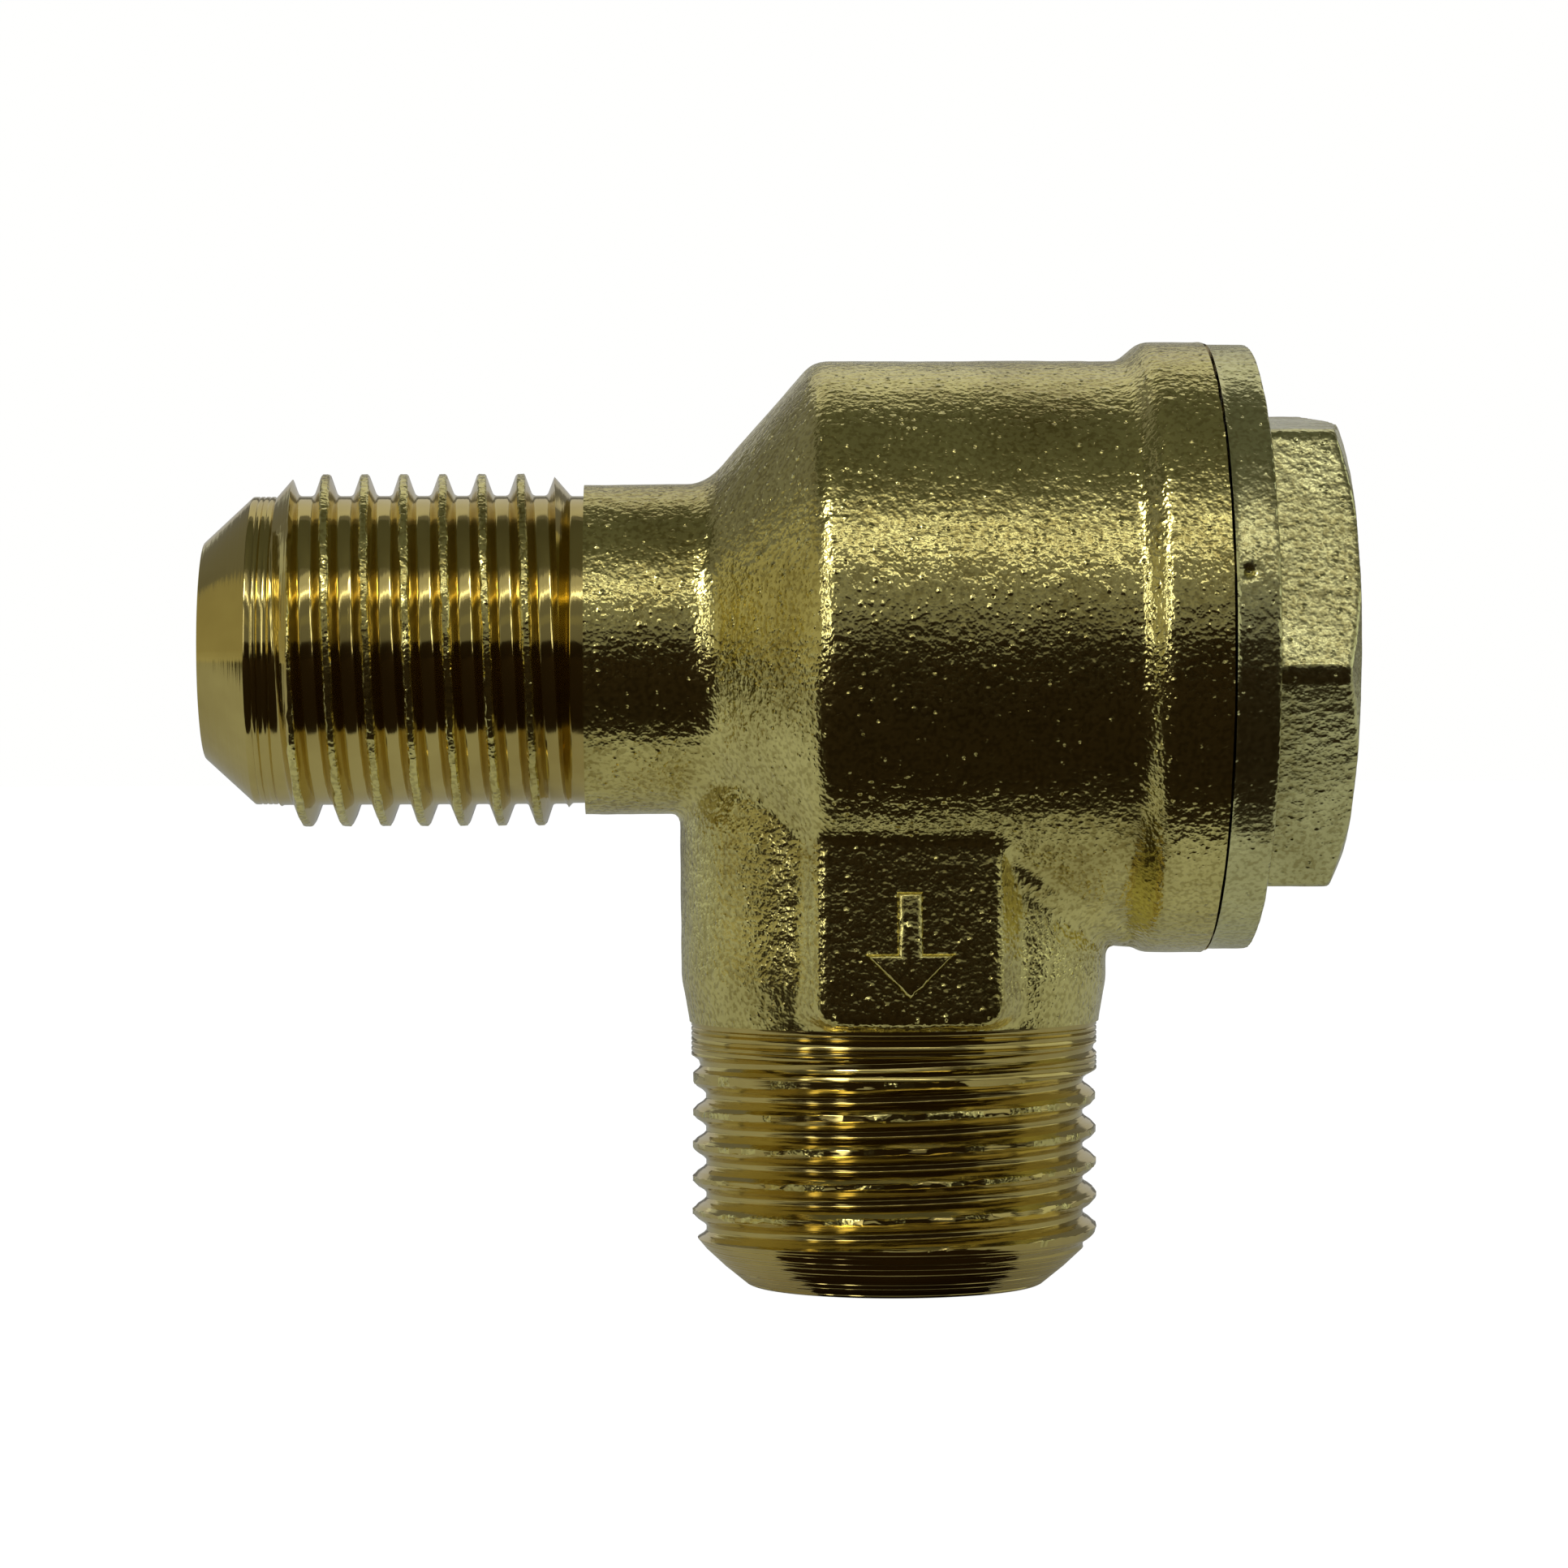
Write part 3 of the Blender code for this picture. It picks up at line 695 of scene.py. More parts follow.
@dataclass
class ValveBody:
    """The forged body with its turned nipple and outlet.

    Places are measured from the axes' crossing, along the barrel or the outlet.
    """

    nose_end: float = -INLET_REACH
    nose_radius: float = 4.36
    land_start: float = -25.7
    land_radius: float = 6.2
    thread_start: float = -24.75
    thread_lead_in: float = 0.8
    inlet_crest: float = 7.11
    relief_start: float = -13.15
    neck_start: float = -12.43
    neck_radius: float = 6.66
    neck_round: float = 1.8
    cone_start: float = -7.52
    cone_end: float = -3.18
    shoulder_round: float = 1.2
    barrel_radius: float = 11.6
    flange_start: float = 9.1
    flange_slope: float = 0.9
    flange_root_round: float = 0.35
    flange_round: float = 0.5
    flange_radius: float = 12.36
    mouth: float = 12.43
    stem_top: float = -2.0
    stem_radius: float = 8.6
    stem_taper: float = -13.3
    stem_round: float = 1.2
    turned_top: float = -15.05
    turned_step: float = 0.07
    outlet_crest: float = 8.2
    outlet_chamfer: float = -23.6
    outlet_end: float = -25.67
    outlet_end_radius: float = 6.0
    inlet_bore: float = 3.2
    outlet_bore: float = 5.0
    seat_face: float = -2.2
    seat_lip_radius: float = 4.2
    seat_lip_clearance: float = 0.8
    chamber_floor: float = -3.0
    chamber_radius: float = 8.3
    mouth_shoulder: float = 5.56
    mouth_radius: float = 9.25
    seal_seat: float = 10.81
    seal_bore: float = 10.25
    pad_width: float = 7.0
    pad_offset: float = 0.2
    pad_face: float = 8.8
    pad_bottom: float = -14.9
    pad_round: float = 0.9
    draft_depth: float = 2.8
    draft_width: float = 1.7
    fills: tuple[WebFill, ...] = (WebFill(6.2, 0.55, 0.9), WebFill(1.0, 0.42, 0.35))
    fill_ramp: float = 3.0
    fill_end: float = 0.8
    fill_low: float = -14.0
    fill_rise: float = 2.0
    fill_high: float = -5.0
    arrow_tip: float = -13.8
    arrow_barb: float = -12.0
    arrow_tail: float = -9.6
    arrow_half_head: float = 1.8
    arrow_half_shaft: float = 0.5
    arrow_root: float = 0.6
    arrow_relief: float = 0.3
    arrow_round: float = 0.26
    voxel: float = 0.215
    smoothing: int = 4
    surface: DieSurface = field(default_factory=DieSurface)

    def barrel_form(self) -> bmesh.types.BMesh:
        """Form the neck, cone, barrel and mouth flange, a little longer than the finished ones.

        Returns:
            The closed form.
        """
        outline = [
            (self.neck_start - OVERCUT, 0, 0),
            (self.neck_start - OVERCUT, self.neck_radius, 0),
            (self.cone_start, self.neck_radius, self.neck_round),
            (self.cone_end, self.barrel_radius, self.shoulder_round),
            (self.flange_start, self.barrel_radius, self.flange_root_round),
            (self.flange_start + self.flange_slope, self.flange_radius, self.flange_round),
            (self.mouth + OVERCUT, self.flange_radius, 0),
            (self.mouth + OVERCUT, 0, 0),
        ]
        return lathe(rounded(outline), Axis.BARREL)

    def stem_form(self) -> bmesh.types.BMesh:
        """Form the stem, which tapers to the turned zone.

        Returns:
            The closed form.
        """
        foot_radius = self.outlet_crest + self.turned_step
        outline = [
            (self.stem_top, 0, 0),
            (self.stem_top, self.stem_radius, 0),
            (self.stem_taper, self.stem_radius, self.stem_round),
            (self.turned_top, foot_radius, 0),
            (self.turned_top - OVERCUT, foot_radius, 0),
            (self.turned_top - OVERCUT, 0, 0),
        ]
        return lathe(rounded(outline), Axis.OUTLET)

    def pad_form(self) -> bmesh.types.BMesh:
        """Form the bar whose ends are the flat pads on the stem's front and back.

        Returns:
            The bar, which widens behind each pad's face.
        """
        bm = bmesh.new()
        bmesh.ops.create_cube(bm, size=1.0)
        size = (self.pad_width, 2 * self.pad_face, self.stem_top - self.pad_bottom)
        bmesh.ops.scale(bm, verts=bm.verts, vec=size)
        lengthwise = [edge for edge in bm.edges if edge.verts[0].co.y * edge.verts[1].co.y < 0]
        bevel_edges(bm, [edge for edge in lengthwise if edge.verts[0].co.z < 0], self.pad_round, 6)
        for side in (-1, 1):
            bmesh.ops.bisect_plane(
                bm,
                geom=[*bm.verts, *bm.edges, *bm.faces],
                plane_co=(0, side * (self.pad_face - self.draft_depth), 0),
                plane_no=(0, 1, 0),
            )
        for vertex in bm.verts:
            if abs(vertex.co.y) < self.pad_face - self.draft_depth / 2:
                vertex.co.x += math.copysign(self.draft_width, vertex.co.x)
        middle = (self.pad_offset, 0, (self.stem_top + self.pad_bottom) / 2)
        bmesh.ops.translate(bm, verts=bm.verts, vec=middle)
        return bm

    def web_forms(self, workshop: Workshop) -> list[bmesh.types.BMesh]:
        """Form the fill in the corner of stem and mouth flange, and the welt under the barrel beside it.

        Args:
            workshop: where the forms are cut.

        Returns:
            A closed form for each fill.
        """
        sunk = 0.3
        end = self.flange_start + self.fill_end
        forms: list[bmesh.types.BMesh] = []
        for fill in self.fills:
            swollen = self.barrel_radius + fill.swell
            collared = self.stem_radius + fill.collar
            ramp = [
                (fill.start, 0.0, 0.0),
                (fill.start, self.barrel_radius - sunk, 0.0),
                (fill.start + self.fill_ramp, swollen, 1.0),
                (end, swollen, 0.0),
                (end, 0.0, 0.0),
            ]
            ring = [
                (self.fill_low, 0.0, 0.0),
                (self.fill_low, self.stem_radius - 0.2, 0.0),
                (self.fill_low + self.fill_rise, collared, 0.8),
                (self.fill_high, collared, 0.0),
                (self.fill_high, 0.0, 0.0),
            ]
            along = workshop.lay(lathe(rounded(ramp), Axis.BARREL), Skin.FORGED)
            across = workshop.lay(lathe(rounded(ring), Axis.OUTLET), Skin.FORGED)
            forms.append(workshop.take_up(workshop.combine(along, across, Cut.KEEP, "EXACT")))
        return forms

    def arrow(self) -> bmesh.types.BMesh:
        """Form the raised flow arrow on the front pad, which points to the outlet.

        Returns:
            The closed form, rooted in the pad.
        """
        half = [
            (0.0, self.arrow_tip),
            (self.arrow_half_head, self.arrow_barb),
            (self.arrow_half_shaft, self.arrow_barb),
            (self.arrow_half_shaft, self.arrow_tail),
        ]
        outline = half + [(-x, z) for x, z in reversed(half[1:])]
        back = -self.pad_face + self.arrow_root
        bm = bmesh.new()
        corners = [bm.verts.new((self.pad_offset + x, back, z)) for x, z in outline]
        made = bmesh.ops.extrude_face_region(bm, geom=[bm.faces.new(corners)])["geom"]
        front = [item for item in made if isinstance(item, bmesh.types.BMVert)]
        bmesh.ops.translate(bm, verts=front, vec=(0, -self.arrow_root - self.arrow_relief, 0))
        bmesh.ops.recalc_face_normals(bm, faces=bm.faces)
        rims = [edge for edge in bm.edges if all(vertex in front for vertex in edge.verts)]
        bevel_edges(bm, rims, self.arrow_round, 4)
        return bm

    def skin(self, workshop: Workshop) -> bpy.types.Object:
        """Forge the skin, and face it off at the mouth, the neck and the outlet's turned zone.

        Args:
            workshop: where the work is done.

        Returns:
            The skin as a work piece.
        """
        forms = [self.barrel_form(), self.stem_form(), self.pad_form(), *self.web_forms(workshop)]
        skin = workshop.forged(forms, self.voxel, self.smoothing)
        self.surface.apply(skin.data)
        skin = workshop.combine(skin, workshop.lay(self.arrow(), Skin.FORGED), Cut.JOIN)
        facings = (
            (Axis.BARREL, self.mouth, self.mouth + FACING_DEPTH, self.flange_radius),
            (Axis.BARREL, self.neck_start - FACING_DEPTH, self.neck_start, self.neck_radius),
            (Axis.OUTLET, self.turned_top - FACING_DEPTH, self.turned_top, self.stem_radius),
        )
        for axis, start, end, radius in facings:
            disc = cylinder(axis, start, end, radius + FACING_SPARE)
            skin = workshop.combine(skin, workshop.lay(disc, Skin.MACHINED), Cut.REMOVE)
        self.open_seam(skin.data)
        return skin

    def open_seam(self, mesh: bpy.types.Mesh) -> None:
        """Break the mouth's outer edge unevenly, most at its top, where it stands off the cap.

        Args:
            mesh: the faced skin.
        """
        band, blend = 0.5, 0.4
        top_start, top_blend = 0.66, 0.2
        least, gape = 0.03, 0.25
        unevenness, swing, wave_length = 0.6, 0.8, 1.3
        for vertex in mesh.vertices:
            radius = math.hypot(vertex.co.y, vertex.co.z)
            edge = (radius - self.flange_radius + band) / blend
            if vertex.co.x < self.mouth - FACE_TOLERANCE or edge <= 0:
                continue
            top = held((vertex.co.z / radius - top_start) / top_blend)
            rough = unevenness + swing * noise.noise(vertex.co / wave_length)
            vertex.co.x -= min(edge, 1.0) * (least + gape * top) * rough

    def nipple(self, workshop: Workshop) -> bpy.types.Object:
        """Turn the nipple: nose cone, land, thread and relief.

        Args:
            workshop: where the work is done.

        Returns:
            The nipple as a work piece.
        """
        land = self.land_radius
        root = self.neck_start + END_OVERLAP
        outline = [
            (self.nose_end, 0, 0),
            (self.nose_end, self.nose_radius, 0.1),
            (self.land_start, land, 0.15),
            *tool_marks((self.land_start + 0.1, land), (self.thread_start, land), pitch=0.2, depth=0.05),
            (self.thread_start, land, 0),
            (self.thread_start + self.thread_lead_in, self.inlet_crest, 0),
            (self.relief_start - 0.6, self.inlet_crest, 0),
            (self.relief_start + 0.2, land, 0.15),
            (root, land, 0),
            (root, 0, 0),
        ]
        thread = ThreadForm(
            axis=Axis.BARREL,
            crest=self.inlet_crest,
            root=land + 0.03,
            pitch=1.563,
            crest_flat=0.22,
            root_flat=0.6,
            start=-25.95,
            end=-13.03,
            root_round=0.18,
            torn_share=-1.0,
        )
        threaded = workshop.thread(lathe(rounded(outline, segments=4), Axis.BARREL), thread)
        thread.tear(threaded.data, depth=0.06, low=self.thread_start + 0.3, high=self.neck_start)
        return threaded

    def outlet(self, workshop: Workshop) -> bpy.types.Object:
        """Turn the outlet: thread with its run-out, and the rounded end with its tool steps.

        Args:
            workshop: where the work is done.

        Returns:
            The outlet as a work piece.
        """
        top, crest, chamfer = self.turned_top, self.outlet_crest, self.outlet_chamfer
        stations = [
            (chamfer - 0.1, crest - 0.13),
            (chamfer - 0.6, crest - 0.55),
            (chamfer - 1.3, crest - 1.3),
            (self.outlet_end, self.outlet_end_radius - 0.05),
        ]
        pitches, depths = (0.16, 0.16, 0.15), (0.03, 0.035, 0.035)
        rounded_end: list[Corner] = []
        for first, last, pitch, depth in zip(stations, stations[1:], pitches, depths):
            rounded_end += tool_marks(first, last, pitch, depth)
        outline = [
            (top + END_OVERLAP, 0, 0),
            (top + END_OVERLAP, crest, 0),
            *tool_marks((top - 0.05, crest), (top - 2.05, crest), pitch=0.2, depth=0.06),
            (chamfer + 0.3, crest, 0.8),
            (*stations[0], 0.0),
            *rounded_end,
            (self.outlet_end, self.outlet_end_radius - 0.1, 0.0),
            (self.outlet_end, 0, 0),
        ]
        thread = ThreadForm(
            axis=Axis.OUTLET,
            crest=crest,
            root=crest - 0.58,
            pitch=1.337,
            crest_flat=0.13,
            root_flat=0.2,
            start=-26.08,
            end=-15.38,
            runout=1.6,
            root_round=0.05,
            crest_break=0.08,
            ripples=1,
            ripple_depth=0.02,
            torn_share=0.1,
        )
        threaded = workshop.thread(lathe(rounded(outline), Axis.OUTLET), thread)
        thread.tear(threaded.data, depth=0.09, low=chamfer, high=top - 2.1)
        nick = Dent(place=(7.8, -2.4, -20.1), radius=0.6, depth=0.4)
        nick.apply(threaded.data, Vector((-0.95, 0.3, 0)))
        return threaded

    def passages(self) -> list[bmesh.types.BMesh]:
        """Make the drilled passages: inlet and chamber along the barrel, and the outlet's bore.

        Returns:
            The solids that are drilled away.
        """
        barrel = [
            (self.nose_end - OVERCUT, 0),
            (self.nose_end - OVERCUT, self.inlet_bore),
            (self.seat_face, self.inlet_bore),
            (self.seat_face, self.seat_lip_radius),
            (self.chamber_floor, self.seat_lip_radius),
            (self.chamber_floor, self.chamber_radius),
            (self.mouth_shoulder, self.chamber_radius),
            (self.mouth_shoulder, self.mouth_radius),
            (self.seal_seat, self.mouth_radius),
            (self.seal_seat, self.seal_bore),
            (self.mouth + OVERCUT, self.seal_bore),
            (self.mouth + OVERCUT, 0),
        ]
        drill_end = -(self.seat_lip_radius + self.seat_lip_clearance)
        outlet = cylinder(Axis.OUTLET, self.outlet_end - OVERCUT, drill_end, self.outlet_bore)
        return [lathe(barrel, Axis.BARREL), outlet]

    def build(self, workshop: Workshop, materials: Sequence[bpy.types.Material]) -> bpy.types.Object:
        """Forge, turn and drill the body.

        Args:
            workshop: where the work is done.
            materials: the forged and the machined finish.

        Returns:
            The piece.
        """
        body = self.skin(workshop)
        for turned in (self.nipple(workshop), self.outlet(workshop)):
            body = workshop.combine(body, turned, Cut.JOIN)
        for passage in self.passages():
            body = workshop.combine(body, workshop.lay(passage, Skin.MACHINED), Cut.REMOVE)
        return show_piece(body, "valve_body_brass", materials, "valve", "valve_body")


@dataclass
class HexCap:
    """The screwed cap: flange, hexagon, spigot and the poppet's guide."""

    face: float = 12.55
    flange_radius: float = 12.23
    flange_round: float = 0.12
    flange_stock: float = 0.8
    hex_start: float = 14.25
    hex_end: float = 17.75
    hex_root: float = 0.6
    across_flats: float = 18.2
    turned_down_deg: float = 6.9
    chamfer_deg: float = 26.0
    front_corner_break: float = 0.34
    corner_round: float = 0.4
    spigot_radius: float = 8.95
    spigot_neck: float = 8.45
    spigot_end: float = 6.01
    spigot_root: float = 0.3
    seal_seat: float = 10.81
    guide_bore: float = 2.7
    guide_bore_end: float = 14.7
    guide_radius: float = 3.6
    guide_end: float = 6.4
    pocket_radius: float = 5.4
    pocket_end: float = 13.0
    voxel: float = 0.13
    smoothing: int = 1
    surface: DieSurface = field(default_factory=lambda: DieSurface(2.8, 0.03, 0.6, 0.012))

    def head(self, workshop: Workshop) -> bmesh.types.BMesh:
        """Form the hexagon, with its corners chamfered by a cone.

        Args:
            workshop: where the chamfer is cut.

        Returns:
            The closed form, rooted in the flange.
        """
        spare = 0.5
        corner = self.across_flats / math.sqrt(3)
        bottom = self.hex_start - self.hex_root
        height = self.hex_end - bottom
        bm = bmesh.new()
        bmesh.ops.create_cone(bm, cap_ends=True, segments=6, radius1=corner, radius2=corner, depth=height)
        lie_along = Matrix.Rotation(math.pi / 2, 4, "Y")
        bmesh.ops.transform(bm, verts=bm.verts, matrix=lie_along)
        bmesh.ops.translate(bm, verts=bm.verts, vec=((self.hex_end + bottom) / 2, 0, 0))
        first = min(bm.verts, key=lambda vertex: vertex.co.y).co
        lean = math.atan2(first.z, -first.y) + math.radians(self.turned_down_deg)
        bmesh.ops.rotate(bm, verts=bm.verts, cent=(0, 0, 0), matrix=Matrix.Rotation(lean, 3, "X"))
        corners = [edge for edge in bm.edges if abs(edge.verts[0].co.x - edge.verts[1].co.x) > height / 2]
        front = min(corners, key=lambda edge: edge.verts[0].co.y)
        others = [edge for edge in corners if edge is not front]
        bevel_edges(bm, [front], self.front_corner_break, 1)
        bevel_edges(bm, others, self.corner_round, 4)
        slope = math.tan(math.radians(self.chamfer_deg))
        rise = (corner - self.across_flats / 2) * slope
        outline = [
            (bottom - OVERCUT, 0),
            (bottom - OVERCUT, corner + spare),
            (self.hex_end - rise - spare * slope, corner + spare),
            (self.hex_end, self.across_flats / 2),
            (self.hex_end, 0),
        ]
        cone = workshop.lay(lathe(outline, Axis.BARREL), Skin.FORGED)
        return workshop.take_up(workshop.combine(workshop.lay(bm, Skin.FORGED), cone, Cut.KEEP, "EXACT"))

    def flange(self) -> bmesh.types.BMesh:
        """Form the flange, a little thicker than the finished one.

        Returns:
            The closed form.
        """
        bottom = self.face - self.flange_stock
        outline = [
            (bottom, 0, 0),
            (bottom, self.flange_radius, 0),
            (self.hex_start, self.flange_radius, self.flange_round),
            (self.hex_start, 0, 0),
        ]
        return lathe(rounded(outline, segments=5), Axis.BARREL)

    def spigot(self) -> bmesh.types.BMesh:
        """Turn the spigot under the flange.

        Returns:
            The solid, rooted in the flange.
        """
        root = self.face + self.spigot_root
        outline = [
            (self.spigot_end, 0),
            (self.spigot_end, self.spigot_radius),
            (self.seal_seat, self.spigot_radius),
            (self.seal_seat, self.spigot_neck),
            (root, self.spigot_neck),
            (root, 0),
        ]
        return lathe(outline, Axis.BARREL, INNER_STEPS)

    def pocket(self) -> bmesh.types.BMesh:
        """Make the spring pocket round the guide, and the guide's blind bore.

        Returns:
            The solid that is turned away.
        """
        outline = [
            (self.spigot_end - OVERCUT, 0),
            (self.spigot_end - OVERCUT, self.pocket_radius),
            (self.pocket_end, self.pocket_radius),
            (self.pocket_end, self.guide_radius),
            (self.guide_end, self.guide_radius),
            (self.guide_end, self.guide_bore),
            (self.guide_bore_end, self.guide_bore),
            (self.guide_bore_end, 0),
        ]
        return lathe(outline, Axis.BARREL, INNER_STEPS)

    def raise_burr(self, mesh: bpy.types.Mesh) -> None:
        """Turn up a thin uneven burr along the flange's faced edge.

        Args:
            mesh: the faced cap.
        """
        band, lean = 0.2, -0.4
        least, swing, wave_length = 0.05, 0.06, 0.9
        for vertex in mesh.vertices:
            radius = math.hypot(vertex.co.y, vertex.co.z)
            if vertex.co.x > self.face + FACE_TOLERANCE or radius < self.flange_radius - band:
                continue
            rise = least + swing * abs(noise.noise(vertex.co / wave_length))
            vertex.co += Vector((lean, vertex.co.y / radius, vertex.co.z / radius)) * rise

    def build(self, workshop: Workshop, materials: Sequence[bpy.types.Material]) -> bpy.types.Object:
        """Forge and turn the cap.

        Args:
            workshop: where the work is done.
            materials: the forged and the machined finish.

        Returns:
            The piece.
        """
        cap = workshop.forged([self.head(workshop), self.flange()], self.voxel, self.smoothing)
        self.surface.apply(cap.data)
        disc = cylinder(Axis.BARREL, self.face - FACING_DEPTH, self.face, self.flange_radius + FACING_SPARE)
        cap = workshop.combine(cap, workshop.lay(disc, Skin.MACHINED), Cut.REMOVE)
        self.raise_burr(cap.data)
        pit = Dent(place=(13.0, -11.95, 2.6), radius=0.33, depth=0.3)
        pit.apply(cap.data, Vector((0, 1, 0)))
        cap = workshop.combine(cap, workshop.lay(self.spigot(), Skin.MACHINED), Cut.JOIN)
        cap = workshop.combine(cap, workshop.lay(self.pocket(), Skin.MACHINED), Cut.REMOVE)
        return show_piece(cap, "hex_cap_brass", materials, "valve", "hex_cap")


class NodeSheet:
    """Adds shader nodes to a tree and links them."""

    def __init__(self, tree: bpy.types.NodeTree) -> None:
        """Take the tree to write on."""
        self.tree = tree

    def add(self, kind: str, **settings: object) -> bpy.types.Node:
        """Add a node.

        Args:
            kind: the node's type.
            settings: properties, or inputs by name when they are sockets.

        Returns:
            The node.
        """
        node = self.tree.nodes.new(kind)
        for name, value in settings.items():
            if hasattr(node, name):
                setattr(node, name, value)
            else:
                self.feed(node.inputs[name.replace("_", " ").title()], value)
        return node

    def feed(self, socket: bpy.types.NodeSocket, value: object) -> None:
        """Link an output to a socket, or set the socket's value.

        Args:
            socket: the input.
            value: an output, or the value.
        """
        if isinstance(value, bpy.types.NodeSocket):
            self.tree.links.new(value, socket)
        else:
            socket.default_value = value

    def place(self) -> bpy.types.NodeSocket:
        """Add the Object coordinates."""
        return self.tree.nodes.new("ShaderNodeTexCoord").outputs["Object"]

    def math(
        self, operation: str, first: object, second: object = 0.0, clamp: bool = False
    ) -> bpy.types.NodeSocket:
        """Add a Math node.

        Args:
            operation: what it works out.
            first: its first input.
            second: its second input.
            clamp: whether its result is held between 0 and 1.

        Returns:
            The result.
        """
        node = self.tree.nodes.new("ShaderNodeMath")
        node.operation = operation
        node.use_clamp = clamp
        self.feed(node.inputs[0], first)
        self.feed(node.inputs[1], second)
        return node.outputs[0]

    def spread(
        self, value: object, low: float, high: float, to_low: float, to_high: float
    ) -> bpy.types.NodeSocket:
        """Map a value from one range to another, held at the ends.

        Args:
            value: the value.
            low: where its range begins.
            high: where its range ends.
            to_low: the result at low.
            to_high: the result at high.

        Returns:
            The result.
        """
        node = self.tree.nodes.new("ShaderNodeMapRange")
        self.feed(node.inputs["Value"], value)
        node.inputs["From Min"].default_value = low
        node.inputs["From Max"].default_value = high
        node.inputs["To Min"].default_value = to_low
        node.inputs["To Max"].default_value = to_high
        return node.outputs[0]

    def group(self, group: bpy.types.NodeTree, **values: float) -> bpy.types.Node:
        """Place a node group.

        Args:
            group: the group.
            values: its inputs by name.

        Returns:
            The group's node.
        """
        node = self.tree.nodes.new("ShaderNodeGroup")
        node.node_tree = group
        for name, value in values.items():
            node.inputs[name].default_value = value
        return node

    def bump(
        self, height: bpy.types.NodeSocket, depth: float, normal: Optional[bpy.types.NodeSocket] = None
    ) -> bpy.types.NodeSocket:
        """Add a Bump node.

        Args:
            height: the relief, from 0 to 1.
            depth: depth of the relief in millimetres.
            normal: the normal of a relief below this one.

        Returns:
            The bumped normal.
        """
        node = self.tree.nodes.new("ShaderNodeBump")
        node.inputs["Strength"].default_value = 1.0
        node.inputs["Distance"].default_value = depth * MM
        self.feed(node.inputs["Height"], height)
        if normal is not None:
            self.feed(node.inputs["Normal"], normal)
        return node.outputs[0]


def new_group(
    name: str, inputs: dict[str, float], outputs: dict[str, str]
) -> tuple[bpy.types.NodeTree, NodeSheet]:
    """Start a shader node group.

    Args:
        name: the group's name.
        inputs: number inputs and their defaults.
        outputs: output names and socket types.

    Returns:
        The group and a sheet to write on it.
    """
    group = bpy.data.node_groups.new(name, "ShaderNodeTree")
    for label, value in inputs.items():
        socket = group.interface.new_socket(label, in_out="INPUT", socket_type="NodeSocketFloat")
        socket.default_value = value
    for label, kind in outputs.items():
        group.interface.new_socket(label, in_out="OUTPUT", socket_type=kind)
    return group, NodeSheet(group)


@dataclass(frozen=True)
class BlastMark:
    """One layer of the marks that blasting leaves on a forging.

    Args:
        fineness: the layer's scale, as a share of the grain's.
        reach: where a mark ends, as a share of the layer's cells.
        bare_share: share of the cells that have no mark.
        height: how far a mark stands out, below 0 for a pit.
    """

    fineness: float
    reach: float
    bare_share: float
    height: float

    def mask(
        self, sheet: NodeSheet, place: bpy.types.NodeSocket, scale: bpy.types.NodeSocket
    ) -> bpy.types.NodeSocket:
        """Add the layer's nodes.

        Args:
            sheet: where they are written.
            place: the coordinates.
            scale: the grain's scale.

        Returns:
            1 in the middle of a mark, and 0 between the marks.
        """
        flat_middle = 0.04
        fine_scale = sheet.math("MULTIPLY", scale, self.fineness)
        cells = sheet.add("ShaderNodeTexVoronoi", Vector=place, Scale=fine_scale)
        chance = sheet.add("ShaderNodeSeparateColor", Color=cells.outputs["Color"])
        near = sheet.spread(cells.outputs["Distance"], flat_middle, self.reach, 1.0, 0.0)
        chosen = sheet.math("GREATER_THAN", chance.outputs[0], self.bare_share)
        return sheet.math("MULTIPLY", sheet.math("MULTIPLY", near, near), chosen)


BEADS = BlastMark(fineness=0.42, reach=0.36, bare_share=0.42, height=0.7)
GRIT = BlastMark(fineness=0.8, reach=0.45, bare_share=0.55, height=0.32)
PITS = BlastMark(fineness=0.36, reach=0.22, bare_share=0.66, height=-0.8)


def blasted_grain() -> bpy.types.NodeTree:
    """Make the group for the relief of a blasted forging.

    Returns:
        A group that gives a height and a mask of the hollows, which the finishes darken as painted shade,
        from Object coordinates.
    """
    outputs = {"Height": "NodeSocketFloat", "Hollows": "NodeSocketFloat"}
    group, sheet = new_group("blasted_grain", {"Size": 0.25}, outputs)
    entry = group.nodes.new("NodeGroupInput")
    leave = group.nodes.new("NodeGroupOutput")
    peel_fineness, peel_height, lump_height = 0.33, 0.8, 0.62
    place = sheet.place()
    scale = sheet.math("DIVIDE", 1.0 / MM, entry.outputs["Size"])
    peel_scale = sheet.math("MULTIPLY", scale, peel_fineness)
    lumps = sheet.add("ShaderNodeTexNoise", Vector=place, Scale=scale, Detail=1.2, Roughness=0.5)
    peel = sheet.add("ShaderNodeTexNoise", Vector=place, Scale=peel_scale, Detail=1.0)
    swells = sheet.math("MULTIPLY", peel.outputs[0], peel_height)
    height = sheet.math("ADD", swells, sheet.math("MULTIPLY", lumps.outputs[0], lump_height))
    masks = {layer: layer.mask(sheet, place, scale) for layer in (BEADS, GRIT, PITS)}
    for layer, mask in masks.items():
        height = sheet.math("ADD", height, sheet.math("MULTIPLY", mask, layer.height))
    # The hollows, the lumps' valleys and the pits, are where the finishes paint shade into the colour.
    valleys = sheet.spread(lumps.outputs[0], 0.38, 0.54, 1.0, 0.0)
    sheet.feed(leave.inputs["Height"], height)
    sheet.feed(leave.inputs["Hollows"], sheet.math("MAXIMUM", valleys, masks[PITS]))
    return group


